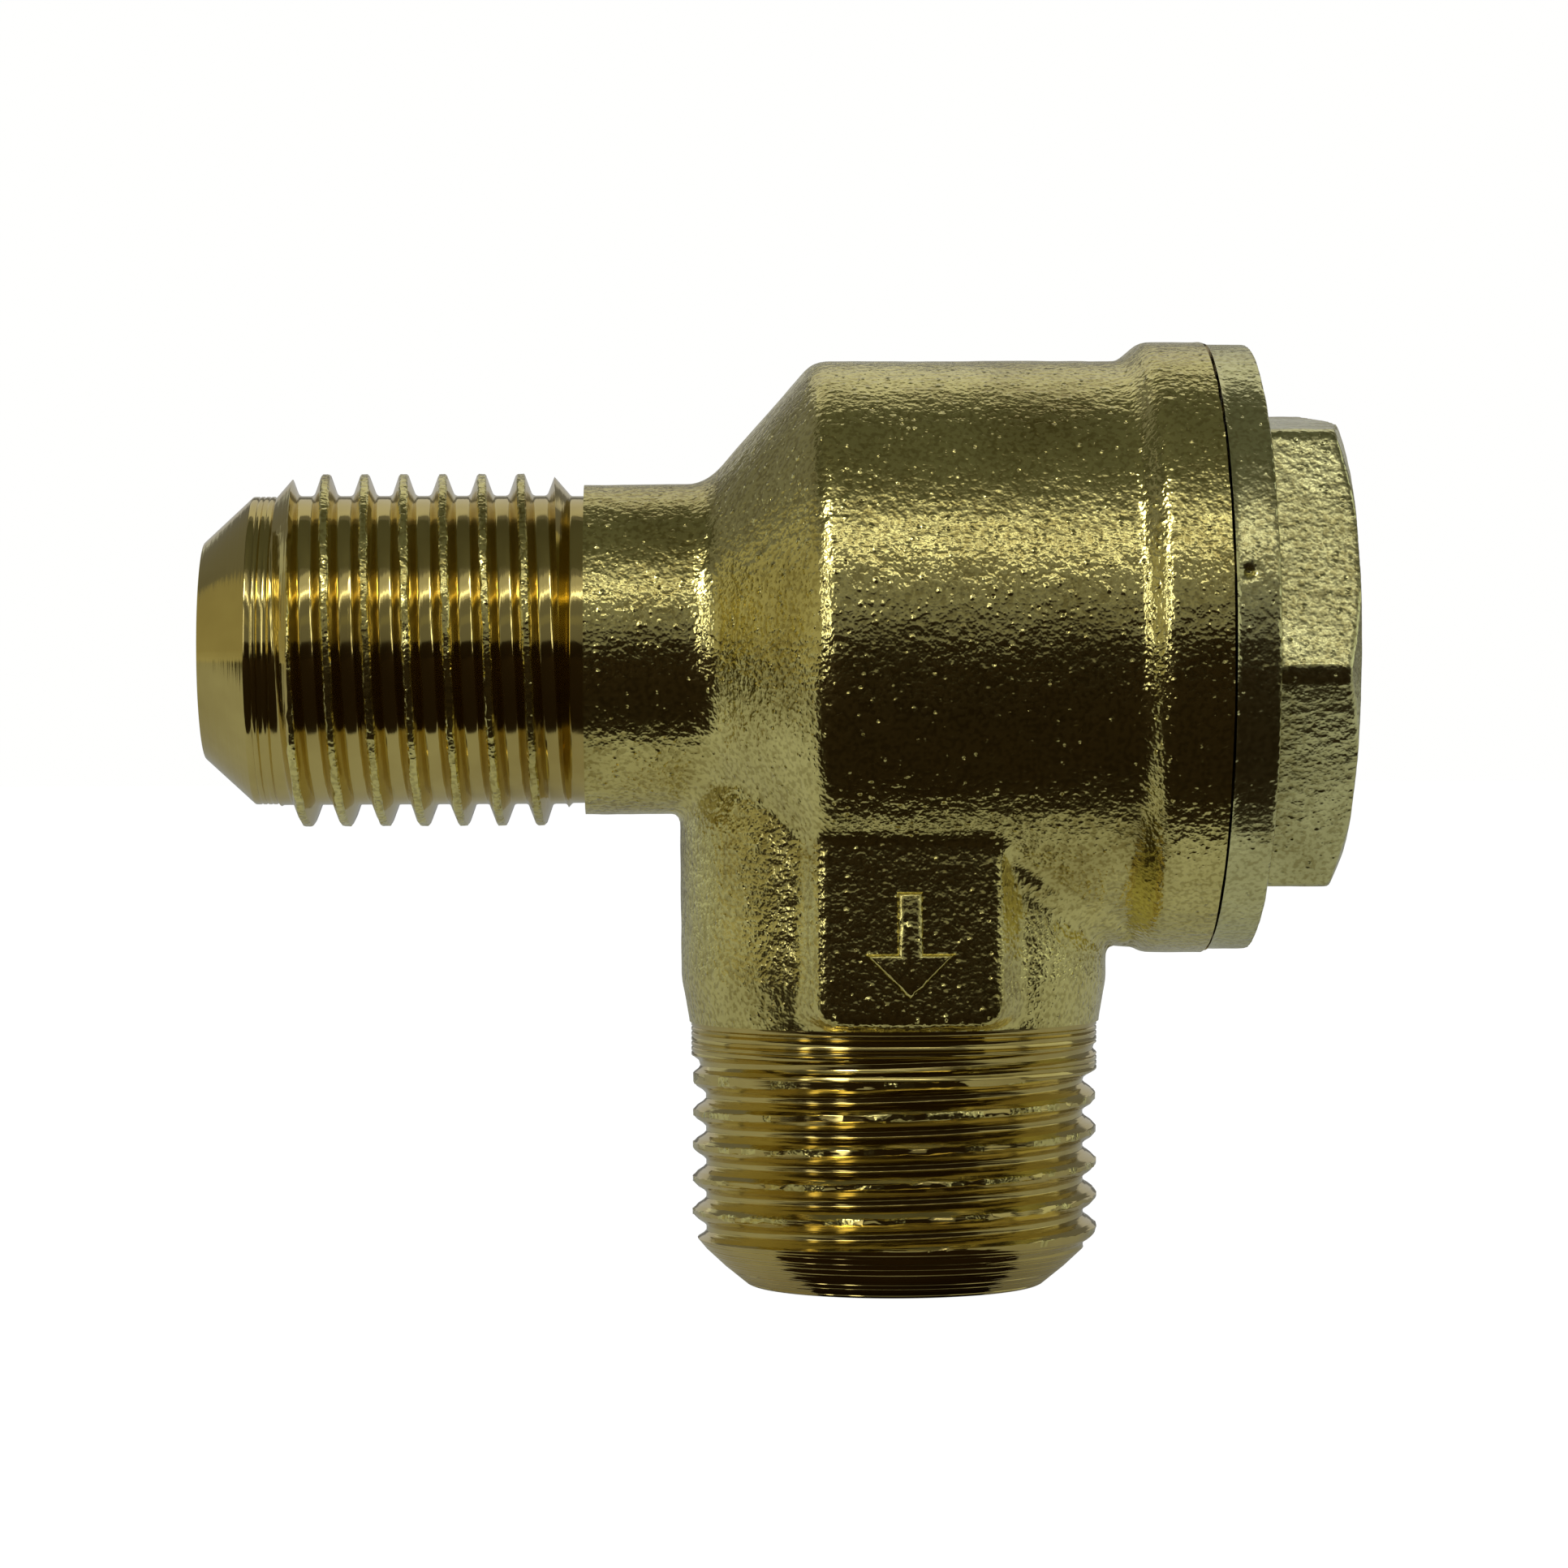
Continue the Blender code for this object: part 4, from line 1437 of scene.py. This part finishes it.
def turning_marks() -> bpy.types.NodeTree:
    """Make the group for the fine rings that a lathe tool leaves about an axis.

    The rings run about the outlet's axis in its turned zone, and about the barrel's axis above it.

    Returns:
        A group that gives a height, from Object coordinates.
    """
    zone_top = 14.9
    group, sheet = new_group("turning_marks", {"Pitch": 0.12}, {"Height": "NodeSocketFloat"})
    entry = group.nodes.new("NodeGroupInput")
    leave = group.nodes.new("NodeGroupOutput")
    axes = sheet.add("ShaderNodeSeparateXYZ", Vector=sheet.place())
    on_outlet = sheet.math("LESS_THAN", axes.outputs["Z"], DRAWING.axis_height - zone_top * MM)
    along_z = sheet.math("MULTIPLY", axes.outputs["Z"], on_outlet)
    along_x = sheet.math("MULTIPLY", axes.outputs["X"], sheet.math("SUBTRACT", 1.0, on_outlet))
    pitch = sheet.math("MULTIPLY", entry.outputs["Pitch"], MM)
    along = sheet.math("DIVIDE", sheet.math("ADD", along_x, along_z), pitch)
    rings = sheet.add("ShaderNodeTexNoise", noise_dimensions="1D", W=along, Scale=1.0, Detail=3.0)
    sheet.feed(leave.inputs["Height"], rings.outputs[0])
    return group


@dataclass(frozen=True)
class BrassFinish:
    """A brass finish.

    Args:
        name: the material's name.
        bright: colour of clean brass.
        dull: colour of brass that has toned, and of the painted shade in the hollows.
        roughness: roughness of clean brass.
        grain_size: size of the relief in millimetres.
        grain_depth: depth of the relief in millimetres.
        ring_depth: depth of the turning rings in millimetres, 0 for none.
        ring_pitch: distance between the turning rings in millimetres.
        hollow_shade: how much the hollows take the dull colour, as painted shade.
    """

    name: str
    bright: Colour
    dull: Colour
    roughness: float
    grain_size: float
    grain_depth: float
    ring_depth: float = 0.0
    ring_pitch: float = 0.12
    hollow_shade: float = 0.0

    def build(self, grain: bpy.types.NodeTree, rings: bpy.types.NodeTree) -> bpy.types.Material:
        """Make the material.

        Args:
            grain: the group of blasted relief.
            rings: the group of turning rings.

        Returns:
            The material.
        """
        toning_scale = 180.0
        material = bpy.data.materials.new(self.name)
        material.use_nodes = True
        tree = material.node_tree
        sheet = NodeSheet(tree)
        shader = tree.nodes["Principled BSDF"]
        shader.inputs["Metallic"].default_value = 1.0
        skin = sheet.group(grain, Size=self.grain_size)
        toning = sheet.add(
            "ShaderNodeTexNoise", Vector=sheet.place(), Scale=toning_scale, Detail=4.0, Roughness=0.6
        )
        patches = sheet.spread(toning.outputs[0], 0.42, 0.68, 0.0, 0.45)
        # Painted shade: the grain's hollows are pulled towards the dull colour, while the toning patches are
        # random tone.
        hollows = sheet.math("MULTIPLY", skin.outputs["Hollows"], self.hollow_shade)
        colour = sheet.add("ShaderNodeMix", data_type="RGBA")
        sheet.feed(colour.inputs["Factor"], sheet.math("ADD", patches, hollows, clamp=True))
        for socket in colour.inputs:
            if socket.type == "RGBA":
                shade = self.bright if socket.name == "A" else self.dull
                socket.default_value = (*shade, 1.0)
        mixed = next(socket for socket in colour.outputs if socket.type == "RGBA")
        sheet.feed(shader.inputs["Base Color"], mixed)
        rough = sheet.spread(toning.outputs[0], 0.35, 0.7, self.roughness * 0.8, self.roughness * 1.35)
        sheet.feed(shader.inputs["Roughness"], rough)
        normal = sheet.bump(skin.outputs["Height"], self.grain_depth)
        if self.ring_depth:
            marks = sheet.group(rings, Pitch=self.ring_pitch)
            normal = sheet.bump(marks.outputs["Height"], self.ring_depth, normal)
        sheet.feed(shader.inputs["Normal"], normal)
        return material


@dataclass(frozen=True)
class PlainFinish:
    """A finish of wire or rubber.

    Args:
        name: the material's name.
        colour: base colour.
        roughness: roughness.
        metallic: 1 for metal, 0 for rubber.
        grain: size of the fine relief in millimetres.
        depth: depth of the fine relief in millimetres.
    """

    name: str
    colour: Colour
    roughness: float
    metallic: float
    grain: float
    depth: float

    def build(self) -> bpy.types.Material:
        """Make the material.

        Returns:
            The material.
        """
        material = bpy.data.materials.new(self.name)
        material.use_nodes = True
        tree = material.node_tree
        sheet = NodeSheet(tree)
        shader = tree.nodes["Principled BSDF"]
        shader.inputs["Base Color"].default_value = (*self.colour, 1.0)
        shader.inputs["Metallic"].default_value = self.metallic
        speckle_scale = 1.0 / (self.grain * MM)
        speckle = sheet.add("ShaderNodeTexNoise", Vector=sheet.place(), Scale=speckle_scale, Detail=3.0)
        rough = sheet.spread(speckle.outputs[0], 0.3, 0.7, self.roughness * 0.8, self.roughness * 1.2)
        sheet.feed(shader.inputs["Roughness"], rough)
        sheet.feed(shader.inputs["Normal"], sheet.bump(speckle.outputs[0], self.depth))
        return material


@dataclass
class PoppetSet:
    """The poppet with its rubber facing, its spring and the cap's seal."""

    facing_front: float = -1.9
    facing_back: float = -0.4
    facing_radius: float = 5.2
    recess_radius: float = 5.5
    recess_floor: float = -0.1
    rim_front: float = -1.2
    rim_radius: float = 6.4
    plate_back: float = 1.7
    boss_radius: float = 3.6
    boss_end: float = 2.7
    pin_radius: float = 2.4
    pin_end: float = 11.0
    travel: float = 3.4
    spring_radius: float = 4.5
    wire_radius: float = 0.4
    spring_turns: float = 6.5
    spring_low: float = 2.15
    spring_high: float = 12.3
    coil_steps: int = 40
    wire_sides: int = 12
    closed_gap: float = 0.15
    seal_radius: float = 9.35
    seal_section: float = 0.6
    seal_place: float = 11.71
    seal_sides: int = 20

    def poppet(self, workshop: Workshop, brass: bpy.types.Material) -> bpy.types.Object:
        """Turn the poppet: a cup for the facing, a boss for the spring and the guide pin.

        Args:
            workshop: where the work is done.
            brass: its finish.

        Returns:
            The piece.
        """
        outline = [
            (self.recess_floor, 0, 0),
            (self.recess_floor, self.recess_radius, 0.1),
            (self.rim_front, self.recess_radius, 0.1),
            (self.rim_front, self.rim_radius, 0.25),
            (self.plate_back, self.rim_radius, 0.3),
            (self.plate_back, self.boss_radius, 0.15),
            (self.boss_end, self.boss_radius, 0.2),
            (self.boss_end, self.pin_radius, 0.2),
            (self.pin_end, self.pin_radius, 0.5),
            (self.pin_end, 0, 0),
        ]
        work = workshop.lay(lathe(rounded(outline, segments=4), Axis.BARREL, INNER_STEPS), Skin.FORGED)
        return show_piece(work, "poppet_turned", [brass], "poppet", "poppet")

    def facing(self, workshop: Workshop, rubber: bpy.types.Material) -> bpy.types.Object:
        """Mould the rubber facing, dished a little where the seat's lip has pressed it.

        Args:
            workshop: where the work is done.
            rubber: its finish.

        Returns:
            The piece.
        """
        middle_dish, lip_dish = 0.1, 0.08
        outline = [
            (self.facing_front + middle_dish, 0, 0),
            (self.facing_front, 2.6, 0.4),
            (self.facing_front, 3.3, 0.1),
            (self.facing_front + lip_dish, 3.7, 0.2),
            (self.facing_front, 4.1, 0.1),
            (self.facing_front, self.facing_radius, 0.25),
            (self.facing_back, self.facing_radius, 0.1),
            (self.facing_back, 0, 0),
        ]
        work = workshop.lay(lathe(rounded(outline, segments=4), Axis.BARREL, INNER_STEPS), Skin.FORGED)
        return show_piece(work, "facing_rubber_disc", [rubber], "poppet", "seat_disc")

    def spring_point(self, turn: float) -> Vector:
        """Find a point on the wire's centre line, whose end turns lie closed.

        Args:
            turn: turns from the line's start.

        Returns:
            The point in the drawing frame.
        """
        closed = 2 * self.wire_radius + self.closed_gap
        share = held((turn - 1) / (self.spring_turns - 2))
        rise = closed * min(turn, 1) + closed * max(turn - self.spring_turns + 1, 0)
        along = self.spring_low + rise + share * (self.spring_high - self.spring_low - 2 * closed)
        angle = FULL_TURN * turn
        return Vector((along, self.spring_radius * math.sin(angle), -self.spring_radius * math.cos(angle)))

    def coil(self) -> bmesh.types.BMesh:
        """Sweep the wire along its helix.

        Returns:
            The closed coil.
        """
        look_ahead = 0.01
        steps = round(self.spring_turns * self.coil_steps)
        bm = bmesh.new()
        rings = []
        for step in range(steps + 1):
            turn = self.spring_turns * step / steps
            ahead = self.spring_point(turn + look_ahead) - self.spring_point(turn - look_ahead)
            facing = ahead.to_track_quat("Z", "Y").to_matrix().to_4x4()
            stand = Matrix.Translation(self.spring_point(turn)) @ facing
            circle = bmesh.ops.create_circle(
                bm, segments=self.wire_sides, radius=self.wire_radius, matrix=stand
            )
            rings.append(circle["verts"])
        for first, second in zip(rings, rings[1:]):
            ends = set(first) | set(second)
            touched = {edge for vertex in (*first, *second) for edge in vertex.link_edges}
            loose = [edge for edge in touched if edge.is_wire or edge.is_boundary]
            bmesh.ops.bridge_loops(bm, edges=[edge for edge in loose if set(edge.verts) <= ends])
        bmesh.ops.holes_fill(bm, edges=[edge for edge in bm.edges if edge.is_boundary], sides=0)
        bmesh.ops.recalc_face_normals(bm, faces=bm.faces)
        return bm

    def spring(self, workshop: Workshop, steel: bpy.types.Material) -> bpy.types.Object:
        """Wind the coil spring, which the poppet squashes against the cap as it opens; the coil is wound in
        one shape, and it rides the valve.

        Args:
            workshop: where the work is done.
            steel: its finish.

        Returns:
            The piece.
        """
        work = workshop.lay(self.coil(), Skin.FORGED)
        spring = show_piece(work, "return_spring_wire", [steel], "valve", "return_spring")
        tuple(DRAWING.place(self.spring_high + self.wire_radius, 0, 0))
        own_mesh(spring)
        return spring

    def seal(self, workshop: Workshop, rubber: bpy.types.Material) -> bpy.types.Object:
        """Mould the ring seal under the cap's flange.

        Args:
            workshop: where the work is done.
            rubber: its finish.

        Returns:
            The piece.
        """
        outline: list[Point] = []
        for side in range(self.seal_sides + 1):
            angle = FULL_TURN * side / self.seal_sides
            along = self.seal_place + self.seal_section * math.cos(angle)
            outline.append((along, self.seal_radius + self.seal_section * math.sin(angle)))
        work = workshop.lay(lathe(outline, Axis.BARREL, INNER_STEPS), Skin.FORGED)
        return show_piece(work, "cap_seal_ring", [rubber], "valve", "cap_seal")


@dataclass
class Studio:
    """The floor, the soft lights and the camera."""

    camera_place: Corner = (-4.9, -190.2, 21.5)
    camera_aim: Corner = (0.57, 0.0, 20.2)
    frame_width: float = 63.5
    roll_deg: float = -0.24
    sensor: float = 36.0
    floor_radius: float = 3000.0
    floor_drop: float = 0.02
    floor_colour: Colour = (0.68, 0.71, 0.72)
    floor_roughness: float = 0.9
    floor_glow: float = 1.37
    glow_in_light: float = 0.06
    glow_in_view: float = 0.72
    surround_colour: Colour = (1.0, 1.0, 0.99)
    surround_in_light: float = 0.16
    surround_in_view: float = 1.0

    def camera(self) -> None:
        """The camera at the photograph's angle, with no shift."""
        place = Vector(self.camera_place) * MM
        aim = Vector(self.camera_aim) * MM
        data = bpy.data.cameras.new("camera")
        data.sensor_width = self.sensor
        data.lens = self.sensor * (aim - place).length / (self.frame_width * MM)
        data.clip_start = 10 * MM
        data.clip_end = 10000 * MM
        camera = bpy.data.objects.new("camera", data)
        camera.location = place
        level = (aim - place).to_track_quat("-Z", "Y").to_matrix()
        camera.rotation_euler = (level @ Matrix.Rotation(math.radians(self.roll_deg), 3, "Z")).to_euler()
        bpy.context.scene.collection.objects.link(camera)
        bpy.context.scene.camera = camera

    def floor(self) -> None:
        """A wide pale floor, which the camera sees almost white."""
        mesh = bpy.data.meshes.new("floor")
        bm = bmesh.new()
        bmesh.ops.create_circle(bm, cap_ends=True, segments=64, radius=self.floor_radius * MM)
        bm.to_mesh(mesh)
        bm.free()
        material = bpy.data.materials.new("pale_floor")
        material.use_nodes = True
        tree = material.node_tree
        sheet = NodeSheet(tree)
        shader = tree.nodes["Principled BSDF"]
        shader.inputs["Base Color"].default_value = (*self.floor_colour, 1.0)
        shader.inputs["Roughness"].default_value = self.floor_roughness
        glow = sheet.add("ShaderNodeEmission", Strength=self.floor_glow)
        glow.inputs["Color"].default_value = (*WHITE, 1.0)
        seen = tree.nodes.new("ShaderNodeLightPath").outputs["Is Camera Ray"]
        mix = tree.nodes.new("ShaderNodeMixShader")
        sheet.feed(mix.inputs[0], sheet.spread(seen, 0.0, 1.0, self.glow_in_light, self.glow_in_view))
        sheet.feed(mix.inputs[1], shader.outputs[0])
        sheet.feed(mix.inputs[2], glow.outputs[0])
        sheet.feed(tree.nodes["Material Output"].inputs["Surface"], mix.outputs[0])
        mesh.materials.append(material)
        floor = bpy.data.objects.new("floor", mesh)
        floor.location.z = -self.floor_drop * MM
        bpy.context.scene.collection.objects.link(floor)

    def card(self, name: str, width: Point, folds: Sequence[Point], shade: Colour) -> None:
        """Stand a folded card that the camera looks through and the brass reflects.

        Args:
            name: the card's name.
            width: its left and right side in millimetres.
            folds: (y, z) of each fold in millimetres.
            shade: the card's colour.
        """
        mesh = bpy.data.meshes.new(name)
        bm = bmesh.new()
        first_y, first_z = folds[0]
        edge = bm.edges.new([bm.verts.new((x * MM, first_y * MM, first_z * MM)) for x in width])
        for (y, z), (next_y, next_z) in zip(folds, folds[1:]):
            made = bmesh.ops.extrude_edge_only(bm, edges=[edge])["geom"]
            fold = [item for item in made if isinstance(item, bmesh.types.BMVert)]
            bmesh.ops.translate(bm, verts=fold, vec=(0, (next_y - y) * MM, (next_z - z) * MM))
            edges = [item for item in made if isinstance(item, bmesh.types.BMEdge)]
            edge = next(item for item in edges if set(item.verts) == set(fold))
        bm.to_mesh(mesh)
        bm.free()
        material = bpy.data.materials.new(name)
        material.use_nodes = True
        shader = material.node_tree.nodes["Principled BSDF"]
        shader.inputs["Base Color"].default_value = (*shade, 1.0)
        shader.inputs["Roughness"].default_value = 1.0
        shader.inputs["Specular IOR Level"].default_value = 0.0
        mesh.materials.append(material)
        card = bpy.data.objects.new(name, mesh)
        card.visible_camera = False
        card.visible_diffuse = False
        card.visible_shadow = False
        bpy.context.scene.collection.objects.link(card)

    def light(
        self,
        name: str,
        azimuth: float,
        elevation: float,
        reach: float,
        size: Point,
        radiance: float,
        tint: Colour = WHITE,
    ) -> None:
        """Hang a rectangular soft light.

        Args:
            name: the light's name.
            azimuth: degrees to the right of the camera's side.
            elevation: degrees above the horizon.
            reach: distance from the valve in millimetres.
            size: width and height in millimetres.
            radiance: brightness of its face.
            tint: colour of its light.
        """
        target = DRAWING.place(0, 0, 0)
        turn, rise = math.radians(azimuth), math.radians(elevation)
        away = Vector((math.sin(turn) * math.cos(rise), -math.cos(turn) * math.cos(rise), math.sin(rise)))
        data = bpy.data.lights.new(name, "AREA")
        data.shape = "RECTANGLE"
        data.size = size[0] * MM
        data.size_y = size[1] * MM
        data.energy = radiance * math.pi * data.size * data.size_y
        data.color = tint
        light = bpy.data.objects.new(name, data)
        light.location = target + away * reach * MM
        light.rotation_euler = (-away).to_track_quat("-Z", "Y").to_euler()
        light.visible_camera = False
        bpy.context.scene.collection.objects.link(light)

    def world(self) -> None:
        """A pale surround: near white to the camera, and grey in reflections."""
        world = bpy.data.worlds.new("surround")
        bpy.context.scene.world = world
        world.use_nodes = True
        tree = world.node_tree
        sheet = NodeSheet(tree)
        background = tree.nodes["Background"]
        seen = tree.nodes.new("ShaderNodeLightPath").outputs["Is Camera Ray"]
        background.inputs["Color"].default_value = (*self.surround_colour, 1.0)
        strength = sheet.spread(seen, 0.0, 1.0, self.surround_in_light, self.surround_in_view)
        sheet.feed(background.inputs["Strength"], strength)

    def build(self) -> None:
        """Set up the whole studio."""
        self.camera()
        self.floor()
        self.card("front_card", (-330, 235), ((-15.0, 0.5), (-200, 0.5), (-200, 44)), (0.036, 0.023, 0.012))
        # Painted shade: a dark card on the floor under the outlet stands in for the shade there, which the
        # outlet's rounded end reflects.
        self.card("contact_shade_card", (-1.0, 10.5), ((-5.0, 0.01), (-11.0, 0.01)), (0.05, 0.03, 0.015))
        self.card("top_card", (-300, 300), ((-150, 300), (110, 300)), (0.22, 0.22, 0.18))
        self.light("window", -12, 41.3, 330, (540, 56), 0.5)
        self.light("window_core", -12, 41, 330, (540, 11), 3.0)
        self.light("window_top", -15, 51, 330, (420, 58), 0.35)
        self.light("sill", -10, 21, 330, (500, 36), 0.06, (1.0, 0.93, 0.32))
        self.light("lamp", -40, 40, 320, (60, 80), 9.0)
        self.light("far_strip", -54, 12, 260, (22, 130), 2.6)
        self.light("near_strip", -33, 12, 230, (34, 120), 2.4)
        self.light("left_panel", -88, 6, 330, (260, 250), 0.17, (1.0, 0.88, 0.32))
        self.light("back_left_panel", -133, 9, 330, (230, 130), 0.3, (0.9, 1.0, 1.0))
        self.light("right_panel", 98, 18, 330, (240, 220), 0.5, (0.9, 1.0, 0.98))
        self.light("right_front_panel", 56, 14, 330, (190, 200), 0.32, (0.95, 1.0, 0.95))
        self.light("back_low", 180, 11, 420, (460, 120), 0.3)
        self.light("back_softbox", 175, 45, 420, (420, 260), 0.42)
        self.world()
        scene = bpy.context.scene
        scene.view_settings.view_transform = "Standard"
        scene.view_settings.look = "None"
        LOG.info("studio set up")


FORGED = BrassFinish(
    name="forged_brass_skin",
    bright=(0.87, 0.775, 0.285),
    dull=(0.34, 0.26, 0.06),
    roughness=0.17,
    grain_size=0.2,
    grain_depth=0.056,
    # painted shade in the grain's hollows
    hollow_shade=0.45,
)
CAP_FORGED = BrassFinish(
    name="cap_brass_skin",
    bright=(0.85, 0.81, 0.375),
    dull=(0.34, 0.28, 0.08),
    roughness=0.2,
    grain_size=0.2,
    grain_depth=0.044,
    # painted shade in the grain's hollows
    hollow_shade=0.38,
)
MACHINED = BrassFinish(
    name="machined_brass",
    bright=(0.67, 0.54, 0.18),
    dull=(0.40, 0.29, 0.08),
    roughness=0.1,
    grain_size=2.2,
    grain_depth=0.0004,
    ring_depth=0.008,
)
TURNED = BrassFinish(
    name="poppet_brass",
    bright=(0.80, 0.68, 0.30),
    dull=(0.66, 0.50, 0.18),
    roughness=0.2,
    grain_size=1.5,
    grain_depth=0.001,
    ring_depth=0.005,
)
SPRING_WIRE = PlainFinish("spring_wire_steel", (0.50, 0.50, 0.52), 0.25, 1.0, 0.4, 0.004)
SEAL_RUBBER = PlainFinish("seal_black_rubber", (0.02, 0.02, 0.022), 0.55, 0.0, 0.3, 0.01)
FACING_RUBBER = PlainFinish("facing_dark_rubber", (0.035, 0.03, 0.028), 0.6, 0.0, 0.3, 0.012)


def main() -> None:
    """Build the valve's pieces and the studio."""
    studio = Studio()
    studio.build()
    grain = blasted_grain()
    rings = turning_marks()
    machined = MACHINED.build(grain, rings)
    workshop = Workshop()
    ValveBody().build(workshop, [FORGED.build(grain, rings), machined])
    HexCap().build(workshop, [CAP_FORGED.build(grain, rings), machined])
    inner = PoppetSet()
    inner.poppet(workshop, TURNED.build(grain, rings))
    inner.facing(workshop, FACING_RUBBER.build())
    inner.spring(workshop, SPRING_WIRE.build())
    inner.seal(workshop, SEAL_RUBBER.build())
    workshop.close()


if __name__ == "__main__":
    main()
